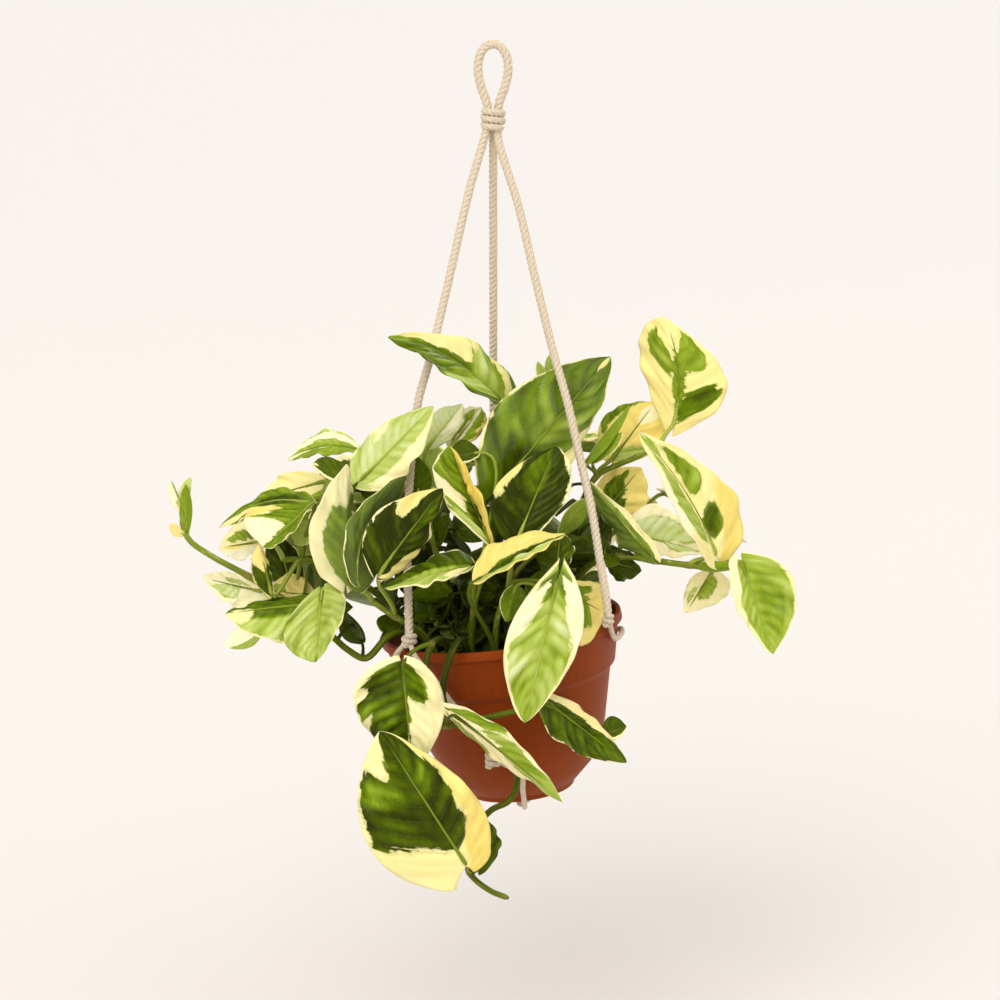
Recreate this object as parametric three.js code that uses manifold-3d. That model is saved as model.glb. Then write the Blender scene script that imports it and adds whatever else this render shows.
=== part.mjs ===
// A variegated pothos growing in a hanging pot, held by a knotted rope hanger.
// Millimetres, +Z up. The origin is the inside top of the hanger's loop, where a hook bears.
import * as THREE from "three";
import { mergeVertices } from "three/addons/utils/BufferGeometryUtils.js";
import Module from "manifold-3d";

const wasm = await Module();
wasm.setup();

// Driving dimensions
const gap = 0.35; // between neighbouring solids
const rimRadius = 63.5;
const potHeight = 90.5;
const potWall = 2;
const potSegments = 24;
const potCentre = new THREE.Vector3(4, 0, -296); // middle of the rim's top plane
const potTilt = THREE.MathUtils.degToRad(-7); // the pot hangs a little low on the left
const soilDepth = 11; // from the rim down to the soil
const ropeRadius = 2.45;
const ropeSides = 6;
const eyeWidth = 10.4; // inside the loop
const eyeHeight = 25;
const netCordRadius = 1.5;
const bladeThickness = 0.7;
const sliver = 0.1; // faces thinner than this are merged away
const largeLeaf = 72; // from this length a blade also bends between its midrib and margin
const stemSides = 5;
const holeSides = 6;
const stalkSides = 3;
const stalkRadius = 1.15;
const smallStalkRadius = 0.9;

const colours = {
  terracotta: new THREE.MeshStandardMaterial({ color: 0x8a4526, roughness: 0.55, metalness: 0 }),
  soil: new THREE.MeshStandardMaterial({ color: 0x2b2018, roughness: 1, metalness: 0 }),
  rope: new THREE.MeshStandardMaterial({ color: 0xe0cdb4, roughness: 0.95, metalness: 0 }),
  leaf: new THREE.MeshStandardMaterial({ color: 0x6f9a3c, roughness: 0.4, metalness: 0 }),
};

const group = new THREE.Group();

function vec(p) {
  return new THREE.Vector3(p[0], p[1], p[2]);
}

function solid(geometry) {
  const bare = geometry.clone();
  bare.deleteAttribute("normal");
  bare.deleteAttribute("uv");
  const merged = mergeVertices(bare, 1e-4);
  return new wasm.Manifold(
    new wasm.Mesh({
      numProp: 3,
      vertProperties: new Float32Array(merged.attributes.position.array),
      triVerts: new Uint32Array(merged.index.array),
    }),
  );
}

function geometryOf(body) {
  const mesh = body.getMesh();
  const geometry = new THREE.BufferGeometry();
  geometry.setAttribute("position", new THREE.BufferAttribute(mesh.vertProperties, 3));
  geometry.setIndex(new THREE.BufferAttribute(mesh.triVerts, 1));
  return geometry;
}

// Without the scraps and closed pockets that cutting and joining leave
function largest(body) {
  return body.decompose().sort((a, b) => b.volume() - a.volume())[0];
}

function add(name, body, material) {
  const mesh = new THREE.Mesh(geometryOf(body.simplify(sliver)), material);
  mesh.name = name;
  group.add(mesh);
}

// The same round section all along a smooth path
function tube(points, radius, sides, steps) {
  const path = new THREE.CatmullRomCurve3(points, false, "centripetal");
  return pathTube(path, radius, sides, steps);
}

function pathTube(path, radius, sides, steps) {
  const section = new THREE.Shape();
  for (let i = 0; i < sides; i += 1) {
    const angle = (i / sides) * 2 * Math.PI;
    const x = radius * Math.cos(angle);
    const y = radius * Math.sin(angle);
    if (i === 0) section.moveTo(x, y);
    else section.lineTo(x, y);
  }
  const geometry = new THREE.ExtrudeGeometry(section, { extrudePath: path, steps, curveSegments: 1 });
  return solid(geometry);
}

function turned(profile, segments) {
  const points = profile.map(([r, z]) => new THREE.Vector2(r, z));
  const geometry = new THREE.LatheGeometry(points, segments);
  geometry.rotateX(Math.PI / 2);
  return solid(geometry);
}

function ball(centre, width, height, sides) {
  const geometry = new THREE.SphereGeometry(1, sides, Math.round(sides * 0.7));
  geometry.rotateX(Math.PI / 2);
  geometry.scale(width / 2, width / 2, height / 2);
  geometry.translate(centre.x, centre.y, centre.z);
  return solid(geometry);
}

// Pot: a bead at the rim, a plain band, a step, a straight side and a rounded foot
const potFrame = new THREE.Matrix4()
  .makeTranslation(potCentre.x, potCentre.y, potCentre.z)
  .multiply(new THREE.Matrix4().makeRotationY(potTilt));

const potSide = [
  [rimRadius - 0.6, 0],
  [rimRadius, -4.5],
  [61.2, -5.4],
  [57.2, -26],
  [54.4, -29],
  [48.2, -58],
  [39.2, -78],
  [29.5, -87.6],
];
const footRadius = 28;
const footWidth = 5;
const drainRadius = 3;
const drainCircle = 16;
const drainHoles = 4;

function potRadius(z) {
  for (let i = 1; i < potSide.length; i += 1) {
    const [r0, z0] = potSide[i - 1];
    const [r1, z1] = potSide[i];
    if (z <= z0 && z >= z1 && z0 > z1) {
      return r0 + ((r1 - r0) * (z0 - z)) / (z0 - z1);
    }
  }
  return footRadius;
}

function inPot(theta, radius, z) {
  const angle = THREE.MathUtils.degToRad(theta);
  return new THREE.Vector3(radius * Math.cos(angle), radius * Math.sin(angle), z).applyMatrix4(potFrame);
}

function placed(body) {
  return body.transform(potFrame.elements);
}

const potFloor = potSide.at(-1)[1] + 1.3 * potWall;
const potInside = [
  [0, potFloor],
  [28, potFloor],
  [37.2, -76.4],
  [46.2, -57.2],
  [52.4, -28.2],
  [55.2, -25.2],
  [59.2, -5],
  [rimRadius - 3, 0],
];

function makePot() {
  const underside = potSide.at(-1)[1];
  const outside = [
    [0, underside],
    [footRadius - footWidth, underside],
    [footRadius - footWidth, -potHeight],
    [footRadius, -potHeight],
    [footRadius + 0.4, underside],
    ...potSide.slice().reverse(),
  ];
  let pot = turned([...outside, ...potInside.slice().reverse()], potSegments);
  for (let i = 0; i < drainHoles; i += 1) {
    const angle = ((i + 0.5) / drainHoles) * 2 * Math.PI;
    const drill = new THREE.CylinderGeometry(drainRadius, drainRadius, 6 * potWall, 8);
    drill.rotateX(Math.PI / 2);
    drill.translate(drainCircle * Math.cos(angle), drainCircle * Math.sin(angle), underside);
    pot = pot.subtract(solid(drill));
  }
  return placed(pot);
}

// Leaves and stems. Each leaf has its base and tip, the way from its midrib to each margin where
// it is widest, how far its midrib bows from the straight line, and the place on its stem (from
// 0 at the soil, counted in the stem's own points) that its stalk grows from.
const vines = {
  left_runner: {
    radius: 2.4,
    stem: [
      [-26, -21, -317], [-29, -22, -309], [-41, -27, -295], [-53, -35, -295], [-65, -39, -306],
      [-74, -38, -302], [-84, -38, -293], [-104, -36, -278], [-125, -34, -264], [-142, -32, -255],
      [-155, -30, -246], [-158, -29, -238], [-157, -29, -225],
    ],
    leaves: {
      frontBlade: { base: [-86, -56, -267], tip: [-89, -62, -302], left: [-18, -2, -8],
        right: [13, 4, 5], from: 6 },
      foldedBlade: { base: [-86, -48, -275], tip: [-135, -52, -280], left: [-3, 17, 1],
        right: [0, -7, -17], bow: [0, -4, 2], from: 7 },
      paleBlade: { base: [-119, -22, -275], tip: [-150, -16, -269], left: [-5, 10, 5],
        right: [0, -6, -11], from: 8 },
      lowPale: { base: [-121, -26, -294], tip: [-139, -22, -304], left: [-3, 4, 4],
        right: [3, -4, -5], small: true, from: 7 },
      upperTip: { base: [-157, -29, -226], tip: [-154, -28, -214], left: [-4, 2, 1],
        right: [2, -1, 0], small: true, from: 12 },
      outerTip: { base: [-158, -29, -232], tip: [-164, -28, -216], left: [-5, 3, 1],
        right: [1, -1, 1], small: true, from: 11 },
      rolledTip: { base: [-156, -31, -241], tip: [-156, -31, -217], left: [-4, 2, 2],
        right: [3, 1, 2], small: true, from: 11 },
      endBud: { base: [-158, -30, -243], tip: [-165, -30, -239], left: [-2, 2, -3],
        right: [-1, -2, 4], small: true, from: 11 },
    },
  },
  left_upper: {
    radius: 2.3,
    stem: [
      [-26, -5, -317], [-28, -4, -311], [-41, -4, -284], [-59, -6, -254], [-74, -8, -232],
      [-87, -10, -228], [-100, -12, -232],
    ],
    leaves: {
      topPale: { base: [-69, -12, -203], tip: [-106, -6, -209], left: [1, 7, 7], right: [1, -9, -3],
        bow: [0, 0, 5], belly: 0.9, from: 4 },
      darkShort: { base: [-74, -26, -216], tip: [-92, -22, -208], left: [-1, 6, 7],
        right: [-3, -3, -2], small: true, from: 4 },
      farYellow: { base: [-90, 12, -224], tip: [-122, 20, -234], left: [-6, 7, 7],
        right: [-1, -5, -7], from: 5 },
      hookTip: { base: [-94, -26, -228], tip: [-140, -24, -241], left: [2, 11, 4],
        right: [-1, -13, -6], bow: [0, 0, 7], from: 6 },
    },
  },
  left_middle: {
    radius: 2.3,
    stem: [
      [-31, -14, -318], [-35, -14, -307], [-50, -16, -287], [-69, -20, -270], [-85, -24, -261],
      [-98, -27, -257], [-108, -28, -257],
    ],
    leaves: {
      halfCream: { base: [-92, -44, -225], tip: [-115, -54, -245], left: [-19, 10, 7],
        right: [3, -2, -3], belly: 1.3, from: 5 },
      brightShort: { base: [-90, -30, -237], tip: [-101, -32, -248], left: [-7, 3, 3],
        right: [2, -3, -5], small: true, from: 5 },
      outerPale: { base: [-119, -14, -250], tip: [-142, -8, -255], left: [-3, 8, 10],
        right: [-2, -6, -7], from: 6 },
      narrowYellow: { base: [-112, -46, -271], tip: [-118, -46, -245], left: [-8, 4, 1],
        right: [1, 4, 3], from: 5 },
      darkInner: { base: [-104, -12, -278], tip: [-112, -8, -248], left: [-12, 4, 1],
        right: [8, 2, 4], from: 5 },
      tanFold: { base: [-93, -26, -276], tip: [-115, -24, -274], left: [-2, 7, 9],
        right: [-2, -4, -3], from: 4 },
    },
  },
  front_left: {
    radius: 2.4,
    stem: [
      [-27, -32, -318], [-29, -33, -307], [-37, -36, -293], [-50, -40, -284], [-62, -46, -274],
    ],
    leaves: {
      tallCream: { base: [-74, -54, -263], tip: [-73, -52, -203], left: [-18, -7, 1],
        right: [3, 15, -4], from: 4 },
      tallDark: { base: [-68, -60, -263], tip: [-43, -54, -208], left: [-7, -8, 5],
        right: [12, 14, -7], bow: [-8, 0, 3], lobes: [0.02, 0.06], from: 4 },
      tallFront: { base: [-56, -64, -255], tip: [-25, -64, -213], left: [-16, 0, 11],
        right: [7, 10, -8], from: 3 },
    },
  },
  crown_left: {
    radius: 2.3,
    stem: [
      [-13, -18, -316], [-16, -18, -302], [-24, -19, -275], [-31, -20, -248], [-35, -20, -227],
    ],
    leaves: {
      paleLong: { base: [-67, -36, -214], tip: [-30, -38, -176], left: [9, -9, -10],
        right: [-11, 13, 6], from: 4 },
      smallDark: { base: [-38, -27, -223], tip: [-39, -22, -204], left: [-6, 2, 0],
        right: [7, 3, 0], small: true, from: 4 },
      whiteStreak: { base: [-21, -14, -200], tip: [-6, -4, -182], left: [-5, 10, 6],
        right: [10, -2, 0], from: 4 },
      greyPale: { base: [-33, -16, -200], tip: [-16, -12, -179], left: [-9, 6, 4],
        right: [9, -2, 0], from: 4 },
    },
  },
  crown_front: {
    radius: 2.3,
    stem: [
      [-10, -33, -316], [-11, -34, -303], [-10, -38, -281], [-6, -42, -264],
    ],
    leaves: {
      creamWedge: { base: [-2, -48, -243], tip: [-22, -44, -195], left: [-16, -12, 6],
        right: [6, -9, 0], belly: 1, from: 3 },
      lowDark: { base: [-13, -52, -255], tip: [-54, -62, -264], left: [0, -11, -2],
        right: [4, 13, 8], bow: [0, -3, 1], from: 2 },
      smallBehind: { base: [-8, -30, -201], tip: [-22, -32, -203], left: [-3, 3, 7],
        right: [-1, -3, -4], small: true, from: 3 },
    },
  },
  crown_top: {
    radius: 2.2,
    stem: [
      [-1, 6, -315], [-1, 6, -308], [0, 4, -269], [2, 0, -231], [6, -4, -199],
    ],
    leaves: {
      highest: { base: [4, -12, -176], tip: [-52, -44, -140], left: [11, 16, 6],
        right: [-3, -14, -5], bow: [0, -2, 7], lobes: [0.2, 0.05], from: 4 },
      leftBud: { base: [27, 4, -173], tip: [23, 8, -160], left: [-3, 2, 1], right: [2, -4, 3],
        small: true, from: 4 },
      rightBud: { base: [32, 4, -173], tip: [29, 6, -156], left: [-4, 3, 1], right: [2, -3, 2],
        small: true, from: 4 },
    },
  },
  crown_right: {
    radius: 2.4,
    stem: [
      [11, -10, -313], [11, -10, -304], [10, -12, -271], [7, -16, -247],
    ],
    leaves: {
      largest: { base: [1, -28, -222], tip: [60, -2, -156], left: [-23, -5, 17],
        right: [14, 13, -15], belly: 0.8, from: 3 },
      smallGreen: { base: [35, -16, -245], tip: [48, -12, -228], left: [-2, 0, 5],
        right: [7, 4, -2], small: true, from: 2 },
      palePiece: { base: [38, -10, -254], tip: [53, -4, -258], left: [2, 4, 5], right: [1, -4, -3],
        small: true, from: 2 },
    },
  },
  crown_middle: {
    radius: 2.3,
    stem: [
      [2, -44, -314], [1, -44, -303], [2, -44, -285], [8, -42, -267],
    ],
    leaves: {
      darkCentre: { base: [13, -46, -241], tip: [32, -34, -197], left: [-20, -3, 6],
        right: [18, 1, 4], from: 3 },
      khakiFold: { base: [-9, -64, -260], tip: [36, -54, -238], left: [-6, 8, 9],
        right: [3, -12, 2], lobes: [0.02, 0.03], from: 1 },
      darkBehind: { base: [32, -50, -259], tip: [34, -42, -240], left: [-11, 1, 1],
        right: [8, 5, 2], from: 3 },
    },
  },
  front_right: {
    radius: 2.4,
    stem: [
      [22, -37, -312], [22, -38, -305], [24, -42, -285], [28, -48, -269],
    ],
    leaves: {
      ruffledFront: { base: [32, -62, -260], tip: [16, -78, -329], left: [-18, 1, 4],
        right: [20, 3, 6], bow: [0, -5, 1], belly: 0.95, lobes: [0.16, 0.16], from: 3 },
      smallRound: { base: [11, -52, -266], tip: [7, -56, -283], left: [-6, 2, 0], right: [7, 6, -2],
        small: true, from: 3 },
      yellowLow: { base: [38, -40, -271], tip: [58, -30, -285], left: [10, 10, 6],
        right: [-3, -20, -19], from: 2 },
    },
  },
  right_upper: {
    radius: 2.3,
    stem: [
      [33, 8, -311], [33, 8, -308], [38, 8, -270], [45, 10, -239], [54, 12, -221], [66, 14, -215],
      [78, 16, -210], [89, 19, -204],
    ],
    leaves: {
      backLit: { base: [94, 20, -196], tip: [89, 26, -139], left: [-20, 13, 8], right: [26, 5, -8],
        bow: [5, -4, 1], belly: 1, from: 7 },
      yellowRound: { base: [63, 26, -214], tip: [86, 34, -185], left: [-13, 5, 10],
        right: [17, 1, -4], from: 4 },
      newNarrow: { base: [48, 2, -212], tip: [71, 8, -183], left: [0, 2, 2], right: [4, -2, -1],
        small: true, from: 4 },
      newShort: { base: [52, 6, -212], tip: [67, 4, -196], left: [-2, 3, 2], right: [5, -3, 0],
        small: true, from: 4 },
      khaki: { base: [57, 22, -244], tip: [78, 26, -219], left: [-8, 2, 10], right: [14, 0, -6],
        from: 3 },
    },
  },
  right_runner: {
    radius: 2.5,
    stem: [
      [36, -12, -310], [36, -12, -306], [40, -12, -282], [49, -12, -264], [65, -14, -258],
      [83, -16, -260], [101, -18, -262], [118, -20, -263],
    ],
    leaves: {
      yellowLong: { base: [115, -22, -257], tip: [74, -34, -190], left: [-8, -11, -4],
        right: [21, 11, 4], bow: [4, 0, 1], from: 6 },
      greenLast: { base: [127, -26, -258], tip: [143, -38, -304], left: [-10, -1, -2],
        right: [21, -1, 7], from: 7 },
      narrowFold: { base: [82, -20, -257], tip: [50, -10, -220], left: [-6, 10, -7],
        right: [8, -2, -1], from: 5 },
      paleWide: { base: [70, 4, -250], tip: [110, 8, -260], left: [3, 8, 17], right: [-1, -10, -6],
        from: 4 },
      hangingPale: { base: [114, -4, -269], tip: [101, 2, -292], left: [-7, 4, 2],
        right: [14, 4, -4], from: 6 },
      sheath: { base: [106, -22, -262], tip: [127, -26, -261], left: [0, 0, 3], right: [0, 2, -3],
        small: true, from: 6 },
      darkLow: { base: [61, 10, -266], tip: [78, 14, -272], left: [2, 0, 5], right: [-1, 2, -9],
        from: 4 },
    },
  },
  front_vine: {
    radius: 2.3,
    stem: [
      [-19, -40, -317], [-21, -42, -307], [-25, -53, -293], [-31, -67, -292], [-34, -73, -306],
      [-31, -74, -324], [-24, -74, -332], [-15, -73, -330], [-4, -73, -328], [13, -73, -324],
      [24, -70, -322],
    ],
    leaves: {
      overPot: { base: [-45, -77, -299], tip: [-40, -80, -353], left: [-26, 3, 0],
        right: [19, 5, -1], bow: [0, -3, 1], lobes: [0.08, 0.08], from: 3 },
      lowestRight: { base: [27, -67, -321], tip: [68, -50, -358], left: [4, 4, 6],
        right: [-8, -11, -7], from: 10 },
      lowestSmall: { base: [56, -52, -343], tip: [68, -46, -340], left: [-1, 4, 7],
        right: [3, -2, -3], small: true, from: 10 },
      acrossPot: { base: [-21, -84, -322], tip: [35, -72, -372], left: [-3, 10, -6],
        right: [6, -1, 8], from: 6 },
    },
  },
  hanging_vine: {
    radius: 2.4,
    stem: [
      [-11, -43, -316], [-12, -45, -305], [-16, -56, -292], [-20, -68, -294], [-24, -70, -306],
      [-25, -68, -320], [-19, -68, -331], [-7, -69, -339], [5, -68, -346], [11, -66, -354],
      [12, -64, -365], [8, -64, -374], [-1, -64, -379], [-9, -66, -388], [-13, -68, -399],
      [-12, -70, -410], [-2, -71, -419], [8, -72, -423],
    ],
    leaves: {
      largeTurned: { base: [-13, -84, -402], tip: [-56, -90, -330], left: [-33, -3, -12],
        right: [22, 3, 7], bow: [0, -3, 1], lobes: [0.12, 0.05], spread: [0.38, 0], from: 15 },
      darkSmall: { base: [-8, -76, -407], tip: [-4, -72, -381], left: [-8, -2, 5],
        right: [10, 4, 1], from: 15 },
    },
  },
  back_left: {
    radius: 2.2,
    stem: [
      [-19, 17, -317], [-22, 20, -300], [-38, 30, -262], [-62, 44, -244], [-88, 54, -246],
    ],
    leaves: {
      outer: { base: [-72, 44, -226], tip: [-112, 66, -262], left: [-4, 12, 16], right: [6, -18, 6],
        from: 3 },
      rear: { base: [-52, 62, -232], tip: [-74, 108, -270], left: [-19, -4, 5], right: [18, 8, 6],
        from: 3 },
      high: { base: [-30, 54, -232], tip: [-50, 52, -196], left: [-10, -16, -4], right: [9, 16, 2],
        from: 2 },
      low: { base: [-94, 62, -258], tip: [-104, 92, -318], left: [-20, -2, 4], right: [20, 8, 2],
        from: 4 },
    },
  },
  back_middle: {
    radius: 2.2,
    stem: [
      [0, 32, -315], [0, 36, -298], [4, 50, -262], [10, 68, -236], [14, 84, -230],
    ],
    leaves: {
      left: { base: [-14, 74, -226], tip: [-36, 112, -256], left: [-17, -8, 5], right: [14, 12, 9],
        from: 3 },
      rear: { base: [22, 92, -222], tip: [18, 128, -280], left: [-20, 4, 2], right: [20, 4, 3],
        from: 4 },
      right: { base: [34, 70, -214], tip: [76, 92, -226], left: [-5, 16, 10], right: [4, -16, 8],
        from: 3 },
    },
  },
  back_right: {
    radius: 2.2,
    stem: [
      [33, 25, -311], [36, 28, -296], [54, 40, -266], [78, 54, -254], [98, 62, -262],
    ],
    leaves: {
      rear: { base: [62, 62, -240], tip: [86, 104, -272], left: [-17, 8, 6], right: [17, -8, 6],
        from: 2 },
      outer: { base: [92, 54, -238], tip: [138, 66, -268], left: [6, 20, 3], right: [2, -18, 8],
        from: 3 },
      low: { base: [58, 78, -262], tip: [42, 116, -308], left: [-17, -4, 6], right: [18, 8, 5],
        from: 2 },
    },
  },
  back_trail: {
    radius: 2.3,
    stem: [
      [12, 36, -313], [13, 40, -300], [12, 60, -282], [12, 75, -294], [16, 78, -326], [14, 74, -356],
      [6, 72, -384],
    ],
    leaves: {
      left: { base: [-12, 78, -292], tip: [-44, 96, -338], left: [-16, -10, 8], right: [16, 10, -6],
        from: 3 },
      right: { base: [36, 84, -300], tip: [62, 104, -346], left: [-18, 6, -8], right: [18, -4, 9],
        from: 4 },
      low: { base: [2, 84, -350], tip: [-18, 92, -408], left: [-18, -2, 6], right: [18, 6, -6],
        from: 5 },
    },
  },
};

const lengthSteps = [0, 0.09, 0.3, 0.56, 0.82, 1];
const smallSteps = [0, 0.2, 0.65, 1];
const acrossSteps = [-1, -0.5, 0, 0.5, 1];
const plainAcross = [-1, 0, 1];
const roundness = 0.75;
const plainBelly = 0.7; // a higher one puts a leaf's widest place nearer its tip
const plainLobes = [0.09, 0.09]; // how far each margin reaches back past the stalk, of the leaf's length
const plainSpread = [0, 0]; // how far out a lobe's end lies, of its half's width
const lobeFade = 0.15;
const leastHalfWidth = 1.3;
const flatBase = 0.1; // the blade is level across here, whatever way its halves lie
const flatTip = 0.15;
const waves = 14; // radians of wave along the margin
const waveShift = 2.1; // so that the two margins differ
const waveHeight = 1.1;
const cupHeight = 0.8; // each half arches between midrib and margin

// Half the width along the leaf, 1 where it is widest: a round base and a drawn-out tip
function outline(s, belly) {
  return Math.pow(Math.max(0, Math.sin(Math.PI * Math.pow(s, belly))), roundness);
}

function leafFrame(leaf) {
  const from = vec(leaf.base);
  const along = vec(leaf.tip).sub(from);
  const left = vec(leaf.left);
  const right = vec(leaf.right);
  const across = right.clone().sub(left);
  const normal = across.clone().cross(along).normalize();
  const bow = vec(leaf.bow ?? [0, 0, 0]);
  return { from, along, left, right, across, normal, bow };
}

function midrib(frame, s) {
  return frame.from.clone().addScaledVector(frame.along, s).addScaledVector(frame.bow, 4 * s * (1 - s));
}

// A point of the blade: s runs from base to tip, t from -1 at one margin to 1 at the other
function bladePoint(frame, leaf, s, t) {
  const side = Math.abs(t);
  const half = t < 0 ? 0 : 1;
  const fade = Math.exp(-s / lobeFade);
  const lobe = (leaf.lobes ?? plainLobes)[half] * Math.pow(side, 1.5) * fade;
  const point = midrib(frame, s - lobe);
  const level = Math.max(0, 1 - s / flatBase, (s - 1 + flatTip) / flatTip);
  const flat = frame.across.clone().multiplyScalar(t < 0 ? -0.5 : 0.5);
  const way = (t < 0 ? frame.left : frame.right).clone().lerp(flat, Math.min(1, level));
  const least = leastHalfWidth / Math.max(way.length(), 1);
  const width = outline(s, leaf.belly ?? plainBelly) + (leaf.spread ?? plainSpread)[half] * fade;
  point.addScaledVector(way, side * Math.max(width, least));
  if (leaf.small) return point;
  const wave = waveHeight * Math.sin(waves * s + waveShift * Math.sign(t)) * side * side;
  const cup = cupHeight * 4 * side * (1 - side);
  return point.addScaledVector(frame.normal, (wave + cup) * Math.sin(Math.PI * s));
}

// Both faces of the blade are split into the same triangles, half its thickness off the middle
function blade(leaf) {
  const frame = leafFrame(leaf);
  const along = leaf.small ? smallSteps : lengthSteps;
  const across = frame.along.length() < largeLeaf ? plainAcross : acrossSteps;
  const rows = along.length;
  const columns = across.length;
  const middle = along.map((s) => across.map((t) => bladePoint(frame, leaf, s, t)));
  const positions = [];
  const corner = (face, i, j) => (face * rows + i) * columns + j;
  for (const face of [1, -1]) {
    for (let i = 0; i < rows; i += 1) {
      for (let j = 0; j < columns; j += 1) {
        const down = middle[Math.min(i + 1, rows - 1)][j].clone().sub(middle[Math.max(i - 1, 0)][j]);
        const over = middle[i][Math.min(j + 1, columns - 1)].clone().sub(middle[i][Math.max(j - 1, 0)]);
        const out = over.cross(down).normalize();
        const point = middle[i][j].clone().addScaledVector(out, (face * bladeThickness) / 2);
        positions.push(point.x, point.y, point.z);
      }
    }
  }
  const faces = [];
  const quad = (a, b, c, d) => faces.push(a, b, c, a, c, d);
  const end = rows - 1;
  const edge = columns - 1;
  for (let i = 0; i < end; i += 1) {
    for (let j = 0; j < edge; j += 1) {
      const square = [[i, j], [i, j + 1], [i + 1, j + 1], [i + 1, j]];
      const [a, b, c, d] = square.map(([row, column]) => corner(1, row, column));
      quad(...square.map(([row, column]) => corner(0, row, column)));
      faces.push(a, c, b, a, d, c);
    }
    quad(corner(0, i, 0), corner(0, i + 1, 0), corner(1, i + 1, 0), corner(1, i, 0));
    quad(corner(0, i + 1, edge), corner(0, i, edge), corner(1, i, edge), corner(1, i + 1, edge));
  }
  for (let j = 0; j < edge; j += 1) {
    quad(corner(0, 0, j + 1), corner(0, 0, j), corner(1, 0, j), corner(1, 0, j + 1));
    quad(corner(0, end, j), corner(0, end, j + 1), corner(1, end, j + 1), corner(1, end, j));
  }
  const geometry = new THREE.BufferGeometry();
  geometry.setAttribute("position", new THREE.Float32BufferAttribute(positions, 3));
  geometry.setIndex(faces);
  return solid(geometry);
}

// A stalk leaves the stem upwards, and comes into the blade along its midrib
const stalkInBlade = 0.05; // of the leaf's length
const stalkRise = 0.25; // of the stalk's own reach
const stalkRun = 0.35;
const stalkLean = 0.2; // towards the leaf, at the stem
const lastRoot = 0.985; // a stalk roots no nearer to the stem's end than this

function stalkPath(leaf, root) {
  const frame = leafFrame(leaf);
  const end = midrib(frame, stalkInBlade);
  const start = leaf.via ? vec(leaf.via) : root;
  const reach = start.distanceTo(end);
  const inward = midrib(frame, 2 * stalkInBlade).sub(frame.from).normalize();
  const second = end.clone().addScaledVector(inward, -stalkRun * reach);
  if (leaf.via) return new THREE.CatmullRomCurve3([root, start, second, end], false, "centripetal");
  const first = start.clone().add(new THREE.Vector3(0, 0, stalkRise * reach)).lerp(end, stalkLean);
  return new THREE.CubicBezierCurve3(root, first, second, end);
}

function stalk(leaf, root) {
  const radius = leaf.small ? smallStalkRadius : stalkRadius;
  return pathTube(stalkPath(leaf, root), radius, stalkSides, leaf.small ? 2 : 4);
}

function stemPath(vine) {
  return new THREE.CatmullRomCurve3(vine.stem.map(vec), false, "centripetal");
}

function stemSteps(vine) {
  return vine.stem.length + 1;
}

// The stem, and each leaf with its stalk
function vinePieces(vine) {
  const path = stemPath(vine);
  const last = vine.stem.length - 1;
  const pieces = [["stem", pathTube(path, vine.radius, stemSides, stemSteps(vine))]];
  for (const [name, leaf] of Object.entries(vine.leaves)) {
    const root = path.getPoint(Math.min(leaf.from / last, lastRoot));
    pieces.push([name, blade(leaf).add(stalk(leaf, root))]);
  }
  return pieces;
}

// A plain hole round the first length of a stem, a little wider and deeper than the stem
function soilHole(vine) {
  const [from, to] = stemPath(vine).getSpacedPoints(stemSteps(vine));
  const along = to.clone().sub(from);
  const wide = (vine.radius + 1.3 * gap) / Math.cos(Math.PI / holeSides);
  const geometry = new THREE.CylinderGeometry(wide, wide, along.length() + 4 * gap, holeSides);
  const upright = new THREE.Vector3(0, 1, 0);
  geometry.applyQuaternion(new THREE.Quaternion().setFromUnitVectors(upright, along.normalize()));
  const centre = from.clone().add(to).multiplyScalar(0.5);
  geometry.translate(centre.x, centre.y, centre.z);
  return solid(geometry);
}

// The soil fills the pot up to its level, a little inside the walls and above the floor
const soilEdge = [57.6, -soilDepth];

function makeSoil() {
  const sides = potInside.slice(2, -2).map(([r, z]) => [r - 1.3 * gap, z]);
  const floor = [[0, potFloor + gap], [potInside[1][0] - 1.3 * gap, potFloor + gap]];
  let soil = placed(turned([...floor, ...sides, soilEdge, [0, -soilDepth]], potSegments));
  for (const vine of Object.values(vines)) {
    soil = soil.subtract(soilHole(vine));
  }
  return soil;
}

// Hanger: a loop, a binding, three legs, a knot at the rim on each, and a net of thinner cords
const loopSteps = 22;
const armX = 2.6; // the loop's two ends, side by side in the binding
const armFoot = -35.6;
const bindingTop = -29.4;
const bindingTurns = 3;
const turnHeight = 3.7;
const bindingSides = 12;
const coreRadius = 5.75; // the hollow in the binding
const coreTop = -33.5;
const ridgeRadius = 6.7;
const grooveRadius = 6.3;
const legRadius = 2.3;
const rimKnots = {
  left: { width: 8.6, height: 9 },
  right: { width: 6.8, height: 8 },
  back: { width: 8.6, height: 9 },
};
const sideKnotWidth = 8.6;
const sideKnotHeight = 12.5;
const bottomKnotWidth = 8;
const netDrop = -58; // side knots, below the rim
const cordLift = 1.8; // the net stands this far off the pot
const rimFoot = -6; // the rim's bead ends here
const netSag = 4; // from the straight line between two knots, towards the pot
const bottomKnotZ = -98;

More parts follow.
